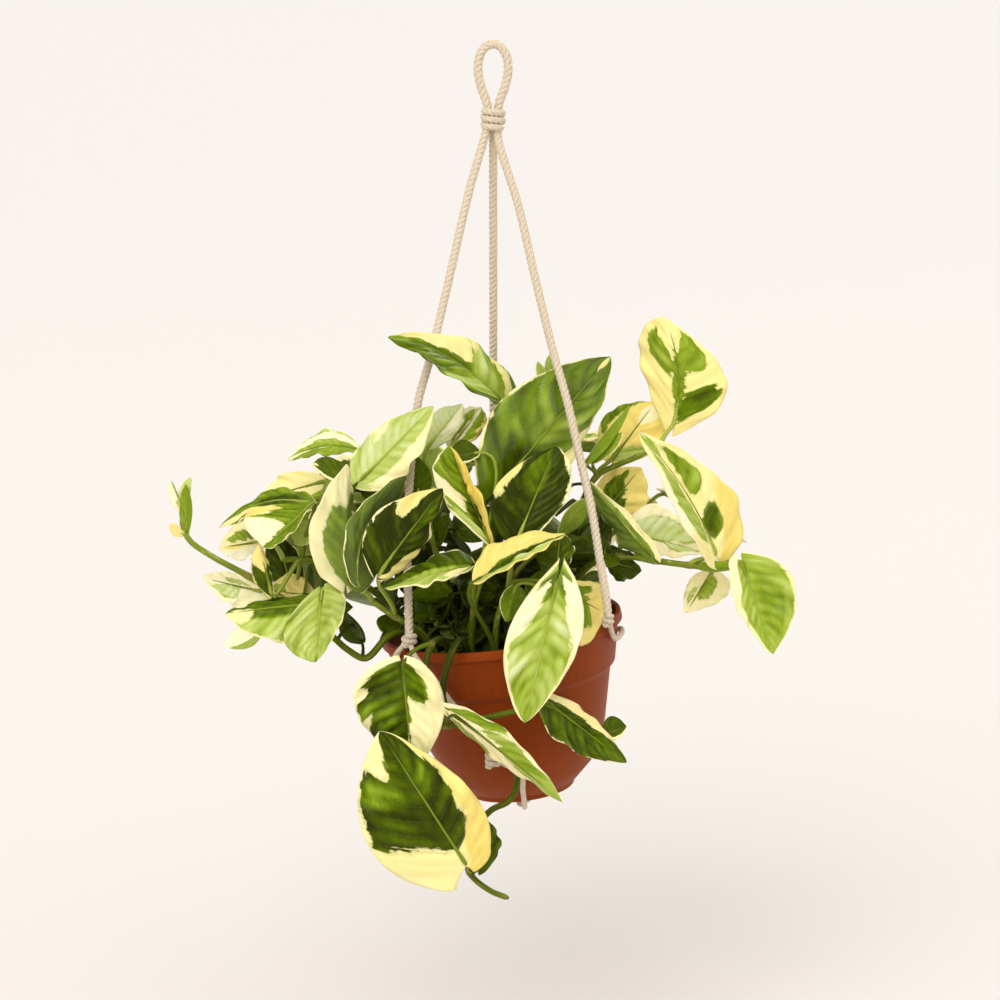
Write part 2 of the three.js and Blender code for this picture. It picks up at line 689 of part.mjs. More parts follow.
const legs = {
  left: [
    [-2.45, -1.3, -36.6], [-4.5, -2, -44.5], [-12, -7, -70.5], [-24.5, -17, -124], [-32, -23, -154.5],
    [-38, -27, -176], [-42.5, -35, -219.5], [-43.5, -40, -254.5], [-43, -43, -274.5],
    [-42.5, -46, -294.5],
  ],
  right: [
    [2.45, -1.3, -36.6], [2.5, -2, -44.5], [12.5, -8, -77], [20.5, -14, -110.5], [30, -20, -149],
    [37.5, -25, -175.5], [44, -29, -203.5], [50, -34, -230], [54.5, -38, -257], [57.5, -41, -274.5],
    [58.5, -42, -285],
  ],
  back: [
    [0, 2.95, -36.6], [0, 4, -46], [0, 20, -112], [0, 36, -176], [0, 52, -240], [-0.5, 62, -277],
    [-0.5, 66, -292.5],
  ],
};

const sideKnotAngles = { front: 258, right: 62, left: 156 };

// Each cord's rim knot and side knot. One goes round under the bead, at heights and lifts of its own
const netCords = [
  ["left", "front"],
  ["right", "right", [-9.5, -12, -15, -28, -46], [1.8, 1, 1.8, 1.8, 1.8]],
  ["back", "right"],
  ["back", "left"],
  ["left", "left"],
];
const cordStations = [0.12, 0.28, 0.5, 0.72, 0.88];
const underLean = { front: 14, right: 0, left: 0 }; // degrees round the pot

function loopPath() {
  const half = eyeWidth / 2 + ropeRadius;
  const deep = eyeHeight - 10;
  const rising = [
    [-armX, 0, armFoot],
    [-armX, 0, -30],
    [-3.4, 0, -eyeHeight - 1],
    [-half * 0.82, 0, -deep - 3],
    [-half, 0, -10],
    [-half * 0.86, 0, -3],
    [-half * 0.46, 0, 1.3],
  ];
  const falling = rising.map(([x, y, z]) => [-x, y, z]).reverse();
  return [...rising, [0, 0, ropeRadius], ...falling].map(vec);
}

function bindingBlank() {
  const foot = bindingTop - bindingTurns * turnHeight;
  const profile = [[0, foot], [grooveRadius - 0.6, foot]];
  for (let i = bindingTurns - 1; i >= 0; i -= 1) {
    const low = bindingTop - (i + 1) * turnHeight;
    profile.push([ridgeRadius - 0.15, low + turnHeight * 0.28]);
    profile.push([ridgeRadius - 0.15, low + turnHeight * 0.72]);
    profile.push([i === 0 ? grooveRadius - 0.6 : grooveRadius, low + turnHeight]);
  }
  profile.push([0, bindingTop]);
  return turned(profile, bindingSides);
}

function legTube(key, extra) {
  const points = legs[key].map(vec);
  return tube(points, legRadius + extra / Math.cos(Math.PI / ropeSides), ropeSides, points.length + 5);
}

// The binding is hollow below, where the loop's two ends meet the tops of the legs
function makeBinding() {
  const below = 2 * armFoot;
  const core = turned([[0, below], [coreRadius, below], [coreRadius, coreTop], [0, coreTop]], bindingSides);
  const loop = tube(loopPath(), ropeRadius + gap / Math.cos(Math.PI / ropeSides), ropeSides, loopSteps);
  let binding = bindingBlank().subtract(loop).subtract(core);
  for (const key of Object.keys(legs)) {
    binding = binding.subtract(legTube(key, gap));
  }
  return largest(binding);
}

function rimKnotCentre(key) {
  return vec(legs[key].at(-1));
}

function sideKnotCentre(key) {
  return inPot(sideKnotAngles[key], potRadius(netDrop) + sideKnotWidth / 2 + cordLift, netDrop);
}

function potPlace(point) {
  const local = point.clone().applyMatrix4(potFrame.clone().invert());
  const theta = THREE.MathUtils.radToDeg(Math.atan2(local.y, local.x));
  return { theta, radius: Math.hypot(local.x, local.y), z: local.z };
}

// A cord of the net lies round the pot from a rim knot to a side knot
function netCord(from, to, heights, lifts) {
  const a = potPlace(from);
  const b = potPlace(to);
  const turn = ((b.theta - a.theta + 540) % 360) - 180;
  const middle = cordStations.map((s, i) => {
    const z = heights ? heights[i] : a.z + (b.z - a.z) * s;
    const bare = z > rimFoot ? rimRadius : potRadius(z);
    const straight = a.radius + (b.radius - a.radius) * s;
    const hug = bare + netCordRadius + (heights ? lifts[i] : cordLift);
    return inPot(a.theta + turn * s, heights ? hug : Math.max(hug, straight - netSag), z);
  });
  return tube([from, ...middle, to], netCordRadius, 5, 9);
}

function underCord(key) {
  const theta = sideKnotAngles[key] + underLean[key];
  const off = netCordRadius + cordLift + 0.7;
  return tube(
    [
      sideKnotCentre(key),
      inPot(theta, potRadius(-70) + off, -70),
      inPot(theta, potRadius(-80) + off, -80),
      inPot(theta, footRadius + off + 2.6, -89),
      inPot(theta, footRadius - 8, -potHeight - off - 1.4),
      inPot(theta, 0, bottomKnotZ),
    ],
    netCordRadius,
    5,
    8,
  );
}

function makeHanger() {
  const sideKnots = Object.keys(sideKnotAngles);
  const rimKnot = (key, more) => {
    const { width, height } = rimKnots[key];
    return ball(rimKnotCentre(key), width + more, height + more, 8);
  };
  const sideKnot = (key, more) => ball(sideKnotCentre(key), sideKnotWidth + more, sideKnotHeight + more, 8);
  const bottomCentre = inPot(0, 0, bottomKnotZ);
  const bottomKnot = (more) => ball(bottomCentre, bottomKnotWidth + more, bottomKnotWidth + more, 8);
  const clear = 2 * gap + 0.3;

  add("hanger_loop", tube(loopPath(), ropeRadius, ropeSides, loopSteps), colours.rope);
  add("hanger_binding", makeBinding(), colours.rope);
  for (const key of Object.keys(rimKnots)) {
    add(`leg_${key}`, legTube(key, 0).subtract(rimKnot(key, clear)), colours.rope);
    add(`rim_knot_${key}`, rimKnot(key, 0), colours.rope);
  }
  for (const [from, to, heights, lifts] of netCords) {
    const cord = netCord(rimKnotCentre(from), sideKnotCentre(to), heights, lifts);
    const freed = cord.subtract(rimKnot(from, clear)).subtract(sideKnot(to, clear));
    add(`net_cord_${from}_${to}`, freed, colours.rope);
  }
  for (const key of sideKnots) {
    add(`side_knot_${key}`, sideKnot(key, 0), colours.rope);
    const cord = underCord(key).subtract(sideKnot(key, clear)).subtract(bottomKnot(clear));
    add(`under_cord_${key}`, cord, colours.rope);
  }
  add("bottom_knot", bottomKnot(0), colours.rope);
}

add("pot", makePot(), colours.terracotta);
add("soil", makeSoil(), colours.soil);
makeHanger();
for (const [name, vine] of Object.entries(vines)) {
  const bodies = vinePieces(vine).map(([, body]) => body);
  add(`vine_${name}`, largest(wasm.Manifold.union(bodies)), colours.leaf);
}

export default group;
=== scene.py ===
# A variegated pothos in a hanging pot, held by a knotted rope hanger.
# Sizes in the dictionaries are in millimetres, as in the CAD, and become metres where they are used.
import math
import random
import bpy
import numpy as np
from mathutils import Matrix, Vector, noise


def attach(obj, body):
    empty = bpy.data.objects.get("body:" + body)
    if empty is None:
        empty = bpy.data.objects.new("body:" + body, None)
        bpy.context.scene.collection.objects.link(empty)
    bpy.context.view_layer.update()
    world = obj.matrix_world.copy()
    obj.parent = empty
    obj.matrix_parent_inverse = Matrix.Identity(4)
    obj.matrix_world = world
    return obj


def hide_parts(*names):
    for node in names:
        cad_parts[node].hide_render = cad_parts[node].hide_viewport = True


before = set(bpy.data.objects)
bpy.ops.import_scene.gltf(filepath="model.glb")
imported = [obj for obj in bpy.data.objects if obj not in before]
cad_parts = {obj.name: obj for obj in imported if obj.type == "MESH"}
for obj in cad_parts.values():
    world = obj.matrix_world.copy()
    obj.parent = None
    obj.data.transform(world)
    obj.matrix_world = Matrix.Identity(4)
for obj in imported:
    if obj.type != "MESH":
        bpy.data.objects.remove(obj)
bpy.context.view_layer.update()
mm = 0.001
flowLength = 10 * mm  # of a cord or a stem, for each unit along its flow map
random.seed(7)

# Camera, at the photo's viewing angle
camera = {
    "place": (0.0035, -1.4, 0.043),
    "target": (0.0035, 0, -0.2313),
    "lens": 98.88,
    "sensor": 36,
    "nearest": 0.05,
}

bpy.ops.object.select_all(action="DESELECT")
bpy.ops.object.camera_add(location=camera["place"])
eye = bpy.context.object
sight = Vector(camera["target"]) - Vector(camera["place"])
eye.rotation_euler = sight.to_track_quat("-Z", "Y").to_euler()
eye.data.lens = camera["lens"]
eye.data.sensor_width = camera["sensor"]
eye.data.clip_start = camera["nearest"]
bpy.context.scene.camera = eye
print("camera placed")


def clearSelection():
    if bpy.context.object and bpy.context.object.mode != "OBJECT":
        bpy.ops.object.mode_set(mode="OBJECT")
    bpy.ops.object.select_all(action="DESELECT")


def selectOnly(*pieces):
    clearSelection()
    for piece in pieces:
        piece.select_set(True)
    bpy.context.view_layer.objects.active = pieces[0]


def applyModifiers(piece):
    selectOnly(piece)
    for modifier in list(piece.modifiers):
        bpy.ops.object.modifier_apply(modifier=modifier.name)


def joined(pieces):
    selectOnly(*pieces)
    if len(pieces) > 1:
        bpy.ops.object.join()
    return bpy.context.object


# A finished piece: its place goes into its mesh, and it stands for its CAD nodes
def handOver(piece, name, slot, *nodes):
    selectOnly(piece)
    bpy.ops.object.transform_apply(location=True, rotation=True, scale=True)
    piece.name = name
    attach(piece, "root")
    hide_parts(*nodes)


# Shader maths: a socket that can stand in a sum
class Wire:
    def __init__(self, finish, socket):
        self.finish = finish
        self.socket = socket

    def maths(self, operation, first, second=0.0):
        return self.finish.node("ShaderNodeMath", {"operation": operation}, {0: first, 1: second})

    def __add__(self, other):
        return self.maths("ADD", self, other)

    __radd__ = __add__

    def __mul__(self, other):
        return self.maths("MULTIPLY", self, other)

    __rmul__ = __mul__

    def __sub__(self, other):
        return self.maths("SUBTRACT", self, other)

    def __rsub__(self, other):
        return self.maths("SUBTRACT", other, self)

    def __pow__(self, other):
        return self.maths("POWER", self, other)

    def __abs__(self):
        return self.maths("ABSOLUTE", self)

    def sine(self):
        return self.maths("SINE", self)

    def floor(self):
        return self.maths("FLOOR", self)

    def fraction(self):
        return self.maths("FRACT", self)

    def held(self):
        return self.finish.node("ShaderNodeClamp", {}, {"Value": self})


def shade(code):
    parts = [int(code[i:i + 2], 16) / 255 for i in (1, 3, 5)]
    linear = [p / 12.92 if p <= 0.04045 else ((p + 0.055) / 1.055) ** 2.4 for p in parts]
    return (*linear, 1)


# A material with a Principled shader; fixed values go on its own sockets
class Finish:
    def __init__(self, name, fixed):
        self.material = bpy.data.materials.new(name)
        self.material.use_nodes = True
        self.tree = self.material.node_tree
        self.shader = self.tree.nodes["Principled BSDF"]
        for socket, value in fixed.items():
            self.shader.inputs[socket].default_value = value

    def node(self, kind, settings, sockets, output=0):
        made = self.tree.nodes.new(kind)
        for key, value in settings.items():
            if key == "stops":
                self.setStops(made.color_ramp, value)
            else:
                setattr(made, key, value)
        for key, value in sockets.items():
            if isinstance(value, Wire):
                self.tree.links.new(value.socket, made.inputs[key])
            else:
                made.inputs[key].default_value = value
        return Wire(self, made.outputs[output])

    def setStops(self, ramp, stops):
        for place, _ in stops[2:]:
            ramp.elements.new(place)
        for element, (place, code) in zip(ramp.elements, stops):
            element.position = place
            element.color = shade(code)

    def ramp(self, factor, stops):
        return self.node("ShaderNodeValToRGB", {"stops": stops}, {0: factor})

    def mix(self, factor, *paints):
        first, second = [shade(paint) if isinstance(paint, str) else paint for paint in paints]
        return self.node("ShaderNodeMix", {"data_type": "RGBA"}, {0: factor, 6: first, 7: second}, 2)

    def attribute(self, name):
        return self.node("ShaderNodeAttribute", {"attribute_name": name}, {}, 2)

    def vector(self, x, y, z):
        return self.node("ShaderNodeCombineXYZ", {}, {0: x, 1: y, 2: z})

    def split(self, where):
        parts = self.node("ShaderNodeSeparateXYZ", {}, {0: where})
        return [Wire(self, output) for output in parts.socket.node.outputs]

    def flow(self):
        return self.split(self.node("ShaderNodeUVMap", {"uv_map": "flow"}, {}))[:2]

    def place(self):
        return self.node("ShaderNodeTexCoord", {}, {}, 3)

    def noise(self, where, scale, detail=2.0, rough=0.5):
        sockets = {"Vector": where, "Scale": scale, "Detail": detail, "Roughness": rough}
        return self.node("ShaderNodeTexNoise", {}, sockets)

    def dice(self, value):
        return self.node("ShaderNodeTexWhiteNoise", {"noise_dimensions": "1D"}, {"W": value})

    def feed(self, **wires):
        for name, wire in wires.items():
            self.tree.links.new(wire.socket, self.shader.inputs[name.replace("_", " ")])

    def bump(self, height, strength, distance):
        sockets = {"Height": height, "Strength": strength, "Distance": distance}
        self.feed(Normal=self.node("ShaderNodeBump", {}, sockets))


# Paths
def throughPoints(points, steps):
    ends = [2 * points[0] - points[1], *points, 2 * points[-1] - points[-2]]
    path = []
    for p0, p1, p2, p3 in zip(ends, ends[1:], ends[2:], ends[3:]):
        d0, d1, d2 = [max(math.sqrt((b - a).length), 1e-4) for a, b in ((p0, p1), (p1, p2), (p2, p3))]
        out = ((p1 - p0) / d0 - (p2 - p0) / (d0 + d1) + (p2 - p1) / d1) * d1
        into = ((p2 - p1) / d1 - (p3 - p1) / (d1 + d2) + (p3 - p2) / d2) * d1
        for k in range(steps):
            w = k / steps
            a = (1 + 2 * w) * (1 - w) ** 2
            b = w * w * (3 - 2 * w)
            path.append(p1 * a + out * (w * (1 - w) ** 2) + p2 * b + into * (w * w * (w - 1)))
    return [*path, points[-1].copy()]


def evenly(path, spacing):
    lengths = np.array([0, *np.cumsum([(b - a).length for a, b in zip(path, path[1:])])])
    count = max(3, round(lengths[-1] / spacing) + 1)
    wanted = np.linspace(0, lengths[-1], count)
    table = np.array(path)
    return [Vector([np.interp(w, lengths, table[:, k]) for k in range(3)]) for w in wanted]


# The two directions across a path at each of its points, carried along without a twist
def acrossPath(path):
    sides = []
    side = None
    for i in range(len(path)):
        ahead = (path[min(i + 1, len(path) - 1)] - path[max(i - 1, 0)]).normalized()
        if side is None:
            side = ahead.orthogonal()
        side = (side - ahead * side.dot(ahead)).normalized()
        sides.append((side, ahead.cross(side)))
    return sides


def setAttributes(mesh, **lists):
    for name, values in lists.items():
        mesh.attributes.new(name, "FLOAT", "POINT").data.foreach_set("value", values)


# Tubes along paths, as one mesh. A run is its path, its radius at each point, and a tone.
def sweep(name, runs, sides):
    places, faces, flow, tones, joints = [], [], [], [], []
    for run in runs:
        path, radii = run["path"], run["radii"]
        first = len(places)
        travelled = 0
        frames = acrossPath(path)
        lengths = []
        for i, place in enumerate(path):
            travelled += (place - path[i - 1]).length if i else 0
            lengths.append(travelled / flowLength)
            for j in range(sides):
                angle = 2 * math.pi * j / sides
                way = frames[i][0] * math.cos(angle) + frames[i][1] * math.sin(angle)
                places.append(place + way * radii[i])
                tones.append(run["tones"][i] if "tones" in run else run.get("tone", 0.5))
                joints.append(run["joints"][i] if "joints" in run else 0)
        for i in range(len(path) - 1):
            for j in range(sides):
                a, b = first + i * sides + j, first + i * sides + (j + 1) % sides
                faces.append((a, b, b + sides, a + sides))
                u, v = (j / sides, (j + 1) / sides), (lengths[i], lengths[i + 1])
                flow += [(u[0], v[0]), (u[1], v[0]), (u[1], v[1]), (u[0], v[1])]
        last = first + (len(path) - 1) * sides
        faces.append(tuple(range(first + sides - 1, first - 1, -1)))
        faces.append(tuple(range(last, last + sides)))
        flow += [(j / sides, lengths[0]) for j in range(sides)]
        flow += [(j / sides, lengths[-1]) for j in range(sides)]
    mesh = bpy.data.meshes.new(name)
    mesh.from_pydata(places, [], faces)
    mesh.uv_layers.new(name="flow").data.foreach_set("uv", np.array(flow).ravel())
    setAttributes(mesh, tone=tones, joint=joints)
    mesh.polygons.foreach_set("use_smooth", [True] * len(mesh.polygons))
    piece = bpy.data.objects.new(name, mesh)
    bpy.context.collection.objects.link(piece)
    return piece


# Pot measures that the hanger and the soil follow too
pot = {
    "rimRadius": 63.5,
    "height": 90.5,
    "centre": (4, 0, -296),  # middle of the rim's top plane
    "tilt": -7,
    "side": [
        (62.9, 0), (63.5, -4.5), (61.2, -5.4), (57.2, -26), (54.4, -29), (48.2, -58), (39.2, -78),
        (29.5, -87.6),
    ],
    "inside": [
        (60.5, 0), (59.2, -5), (55.2, -25.2), (52.4, -28.2), (46.2, -57.2), (37.2, -76.4), (28, -85),
    ],
    "footRadius": 28,
    "footWidth": 5,
    "drains": 4,
    "drainRadius": 3,
    "drainCircle": 16,
    "segments": 96,
    "edge": {"width": 0.5, "segments": 3, "angle": 25},  # bevel
    "smoothAngle": 35,
    "clay": ("#7a3008", "#8e3c0e"),
    "cloud": "#9e4e1c",
    "dust": "#a8714f",
    "shine": "#ffb486",
}
potFrame = Matrix.Translation(Vector(pot["centre"]) * mm)
potFrame = potFrame @ Matrix.Rotation(math.radians(pot["tilt"]), 4, "Y")


def potRadius(z):
    for (r0, z0), (r1, z1) in zip(pot["side"], pot["side"][1:]):
        if z1 <= z <= z0:
            return r0 + (r1 - r0) * (z0 - z) / (z0 - z1)
    return pot["footRadius"]


def inPot(theta, radius, z):
    angle = math.radians(theta)
    return potFrame @ Vector((radius * math.cos(angle) * mm, radius * math.sin(angle) * mm, z * mm))


# Rope hanger: three-strand cotton rope
hanger = {
    "ropeRadius": 2.45,
    "legRadius": 2.3,
    "cordRadius": 1.5,
    "lay": 3.6,  # length of one turn of a strand, in rope radii
    "strandRadius": 0.53,  # in rope radii
    "strandSides": 8,
    "stepsPerTurn": 9,
    "bindingTop": -29.4,
    "turnHeight": 3.7,
    "bindingTurns": 3,
    "netDrop": -58,
    "cordLift": 1.8,
    "sideKnotSize": 8.6,
    "bottomKnotZ": -98,
    "sideKnotAngles": {"front": 258, "right": 62, "left": 156},
    "loop": [
        (-2.6, 0, -35.6), (-2.6, 0, -30), (-3.4, 0, -26), (-6.273, 0, -18), (-7.65, 0, -10),
        (-6.579, 0, -3), (-3.519, 0, 1.3), (0, 0, 2.45), (3.519, 0, 1.3), (6.579, 0, -3), (7.65, 0, -10),
        (6.273, 0, -18), (3.4, 0, -26), (2.6, 0, -30), (2.6, 0, -35.6),
    ],
    "legs": {
        "left": [
            (-2.45, -1.3, -36.6), (-4.5, -2, -44.5), (-12, -7, -70.5), (-24.5, -17, -124),
            (-32, -23, -154.5), (-38, -27, -176), (-42.5, -35, -219.5), (-43.5, -40, -254.5),
            (-43, -43, -274.5), (-42.5, -46, -294.5),
        ],
        "right": [
            (2.45, -1.3, -36.6), (2.5, -2, -44.5), (12.5, -8, -77), (20.5, -14, -110.5),
            (30, -20, -149), (37.5, -25, -175.5), (44, -29, -203.5), (50, -34, -230), (54.5, -38, -257),
            (57.5, -41, -274.5), (58.5, -42, -285),
        ],
        "back": [
            (0, 2.95, -36.6), (0, 4, -46), (0, 20, -112), (0, 36, -176), (0, 52, -240),
            (-0.5, 62, -277), (-0.5, 66, -292.5),
        ],
    },
    "netCords": [
        ("left", "front"), ("right", "right"), ("back", "right"), ("back", "left"), ("left", "left"),
    ],
    "cordStations": (0.12, 0.28, 0.5, 0.72, 0.88),
    "roundHeights": (-9.5, -12, -15, -28, -46),  # below the rim, of the cord from right to right
    "roundLifts": (1.8, 1, 1.8, 1.8, 1.8),
    "underLean": {"front": 14, "right": 0, "left": 0},  # degrees round the pot
    "underLift": 0.7,
    "underHeights": (-70, -80),
    "footCorner": (2.6, -89),  # out from the foot, and its height
    "belowFoot": (8, 1.4),  # in from the foot, and below it
    "rimFoot": -6,
    "netSag": 4,
    # A coil: its radius, turns, rise of a turn, first angle, how far in its ends tuck, rope radius
    "coils": {
        "binding": (4.7, 2.35, 3.7, 200, 0.55, 1.95),
        "leftRim": (2.75, 1.9, 2.7, 250, 0.4, 1.5),
        "rightRim": (1.9, 1.9, 2.7, 250, 0.4, 1.35),
        "backRim": (2.75, 1.9, 2.7, 250, 0.4, 1.5),
        "side": (2.8, 2.9, 2.9, 200, 0.4, 1.45),
        "bottom": (2.4, 1.6, 2.8, 30, 0.4, 1.45),
    },
    "pathSteps": 8,
    "coilSteps": 14,  # to a turn
    "cotton": ("#d2bd9e", "#ece0cd"),
    "patch": "#decaae",
    # Painted shade: the colour put into the grooves between the yarns
    "groove": "#a58a67",
}


def cottonFinish():
    fixed = {"Sheen Weight": 0.25, "Sheen Roughness": 0.5, "Specular IOR Level": 0.25}
    cotton = Finish("cottonRope", fixed)
    around, along = cotton.flow()
    yarn = abs(((around * 5 + along * 1.1) * math.pi).sine())
    fibres = cotton.noise(cotton.vector(around * 9 + along * 2, along * 3, 0), 5, 3, 0.6)
    patches = cotton.noise(cotton.place(), 90, 2)
    colour = cotton.mix(fibres, *hanger["cotton"])
    colour = cotton.mix((patches - 0.35).held(), colour, hanger["patch"])
    # Painted shade: the grooves between the yarns are darkened
    colour = cotton.mix((1 - yarn) ** 3 * 0.35, colour, hanger["groove"])
    cotton.feed(Base_Color=colour, Roughness=0.8 + 0.15 * fibres)
    cotton.bump(yarn * 0.7 + fibres * 0.3, 0.8, 0.0004)
    return cotton.material


cottonRope = cottonFinish()


# Three strands twisted round a path, as one piece
def makeRope(name, node, path, thickness):
    radius = thickness * mm
    turn = hanger["lay"] * radius
    spacing = turn / hanger["stepsPerTurn"]
    middle = evenly(path, spacing)
    frames = acrossPath(middle)
    offset = (1 - hanger["strandRadius"]) * radius
    runs = []
    for strand in range(3):
        line = []
        for i, (place, (side, up)) in enumerate(zip(middle, frames)):
            angle = 2 * math.pi * (i / hanger["stepsPerTurn"] + strand / 3)
            line.append(place + (side * math.cos(angle) + up * math.sin(angle)) * offset)
        runs.append({"path": line, "radii": [hanger["strandRadius"] * radius] * len(line)})
    rope = sweep(name, runs, hanger["strandSides"])
    rope.data.materials.append(cottonRope)
    handOver(rope, name, "rope", node)


# A coil of rope round an upright axis, its two ends tucked inwards
def makeCoil(name, node, centre, coil):
    size, turns, turnRise, start, tuck, thickness = coil
    radius, rise, perTurn = size * mm, turnRise * mm, hanger["coilSteps"]
    points = []
    steps = round(turns * perTurn)
    for i in range(-2, steps + 3):
        angle = math.radians(start) + 2 * math.pi * i / perTurn
        inner = radius * tuck if i < 0 or i > steps else radius
        height = rise * (min(max(i, 0), steps) / perTurn - turns / 2)
        points.append(centre + Vector((inner * math.cos(angle), inner * math.sin(angle), -height)))
    makeRope(name, node, throughPoints(points, 3), thickness)


def metres(points):
    return [Vector(p) * mm for p in points]


def rimKnotPlace(key):
    return Vector(hanger["legs"][key][-1]) * mm


def sideKnotPlace(key):
    drop = hanger["netDrop"]
    off = hanger["sideKnotSize"] / 2 + hanger["cordLift"]
    return inPot(hanger["sideKnotAngles"][key], potRadius(drop) + off, drop)


def netCordPath(start, end, heights):
    a, b = [potFrame.inverted() @ place / mm for place in (start, end)]
    thetaA, thetaB = [math.degrees(math.atan2(p.y, p.x)) for p in (a, b)]
    turn = (thetaB - thetaA + 540) % 360 - 180
    path = [start]
    for i, s in enumerate(hanger["cordStations"]):
        z = heights[i] if heights else a.z + (b.z - a.z) * s
        bare = pot["rimRadius"] if z > hanger["rimFoot"] else potRadius(z)
        out = bare + hanger["cordRadius"] + (hanger["roundLifts"][i] if heights else hanger["cordLift"])
        if not heights:
            straight = a.xy.length + (b.xy.length - a.xy.length) * s
            out = max(out, straight - hanger["netSag"])
        path.append(inPot(thetaA + turn * s, out, z))
    return throughPoints([*path, end], hanger["pathSteps"])


def underCordPath(key):
    theta = hanger["sideKnotAngles"][key] + hanger["underLean"][key]
    off = hanger["cordRadius"] + hanger["cordLift"] + hanger["underLift"]
    foot, (out, cornerZ), (inset, gap) = pot["footRadius"], hanger["footCorner"], hanger["belowFoot"]
    route = [(potRadius(z) + off, z) for z in hanger["underHeights"]]
    route += [(foot + off + out, cornerZ), (foot - inset, -pot["height"] - off - gap)]
    places = [inPot(theta, r, z) for r, z in [*route, (0, hanger["bottomKnotZ"])]]
    return throughPoints([sideKnotPlace(key), *places], hanger["pathSteps"])


def makeHanger():
    steps, coils = hanger["pathSteps"], hanger["coils"]
    loop = throughPoints(metres(hanger["loop"]), steps)
    makeRope("loopRope", "hanger_loop", loop, hanger["ropeRadius"])
    middle = hanger["bindingTop"] - hanger["turnHeight"] * hanger["bindingTurns"] / 2
    makeCoil("bindingRope", "hanger_binding", Vector((0, 0, middle * mm)), coils["binding"])
    for key, points in hanger["legs"].items():
        makeRope(key + "Leg", "leg_" + key, throughPoints(metres(points), steps), hanger["legRadius"])
        makeCoil(key + "RimKnot", "rim_knot_" + key, rimKnotPlace(key), coils[key + "Rim"])
    for start, end in hanger["netCords"]:
        heights = hanger["roundHeights"] if start == end == "right" else None
        path = netCordPath(rimKnotPlace(start), sideKnotPlace(end), heights)
        makeRope(start + end.capitalize() + "Cord", f"net_cord_{start}_{end}", path, hanger["cordRadius"])
    for key in hanger["sideKnotAngles"]:
        makeCoil(key + "SideKnot", "side_knot_" + key, sideKnotPlace(key), coils["side"])
        makeRope(key + "UnderCord", "under_cord_" + key, underCordPath(key), hanger["cordRadius"])
    makeCoil("bottomKnot", "bottom_knot", inPot(0, 0, hanger["bottomKnotZ"]), coils["bottom"])


makeHanger()
print("hanger made")


# A round body raised ring by ring from its lowest circle, then closed
def turned(name, profile, segments):
    clearSelection()
    radius, height = profile[0]
    bpy.ops.mesh.primitive_circle_add(vertices=segments, radius=radius * mm, location=(0, 0, 0))
    body = bpy.context.object
    bpy.ops.object.mode_set(mode="EDIT")
    bpy.ops.mesh.select_mode(type="EDGE")
    bpy.ops.mesh.select_all(action="SELECT")
    bpy.ops.transform.translate(value=(0, 0, height * mm))
    bpy.ops.mesh.edge_face_add()
    bpy.ops.mesh.select_mode(type="EDGE")
    bpy.ops.mesh.select_all(action="SELECT")
    for wider, higher in profile[1:]:
        rise = (0, 0, (higher - height) * mm)
        bpy.ops.mesh.extrude_edges_move(TRANSFORM_OT_translate={"value": rise})
        bpy.ops.transform.resize(value=(wider / radius, wider / radius, 1))
        radius, height = wider, higher
    bpy.ops.mesh.edge_face_add()
    bpy.ops.mesh.select_all(action="SELECT")
    bpy.ops.mesh.normals_make_consistent(inside=False)
    bpy.ops.object.mode_set(mode="OBJECT")
    body.name = name
    return body


def potFinish():
    clay = Finish("terracottaPlastic", {"Specular IOR Level": 0.22, "Specular Tint": shade(pot["shine"])})
    where = clay.place()
    x, y, z = clay.split(where)
    streaks = clay.noise(clay.vector(x * 6, y * 6, z * 0.35), 60, 3, 0.6)
    clouds = clay.noise(where, 18, 3, 0.5)
    grain = clay.noise(where, 1600, 2)
    dust = clay.noise(where, 420, 2, 0.7)
    colour = clay.mix(streaks, *pot["clay"])
    colour = clay.mix((clouds - 0.4).held() * 0.6, colour, pot["cloud"])
    colour = clay.mix(((dust - 0.68) * 6).held() * 0.2, colour, pot["dust"])
    clay.feed(Base_Color=colour, Roughness=0.4 + 0.2 * clouds + 0.1 * streaks)
    clay.bump(grain * 0.5 + streaks * 0.5, 0.25, 0.0002)
    return clay.material


def makePot():
    foot, width, base = pot["footRadius"], pot["footWidth"], pot["side"][-1][1]
    underside = [(2, base), (foot - width, base), (foot - width + 0.4, -pot["height"])]
    outside = [(foot, -pot["height"]), (foot + 0.4, base), *reversed(pot["side"])]
    inside = [*pot["inside"], (2, pot["inside"][-1][1])]
    body = turned("pot", [*underside, *outside, *inside], pot["segments"])
    bpy.ops.object.modifier_add(type="BEVEL")
    edge = body.modifiers[-1]
    edge.width = pot["edge"]["width"] * mm
    edge.segments = pot["edge"]["segments"]
    edge.limit_method = "ANGLE"
    edge.angle_limit = math.radians(pot["edge"]["angle"])
    applyModifiers(body)
    for i in range(pot["drains"]):
        angle = (i + 0.5) * 2 * math.pi / pot["drains"]
        x, y = [pot["drainCircle"] * part(angle) * mm for part in (math.cos, math.sin)]
        place = (x, y, base * mm)
        bpy.ops.mesh.primitive_cylinder_add(radius=pot["drainRadius"] * mm, depth=0.02, location=place)
        drill = bpy.context.object
        cut = body.modifiers.new("drain", "BOOLEAN")
        cut.object = drill
        cut.operation = "DIFFERENCE"
        applyModifiers(body)
        bpy.data.objects.remove(drill)
    body.matrix_world = potFrame
    selectOnly(body)
    bpy.ops.object.shade_smooth_by_angle(angle=math.radians(pot["smoothAngle"]))
    body.data.materials.append(potFinish())
    handOver(body, "terracottaPot", "pot", "pot")


makePot()
print("pot made")


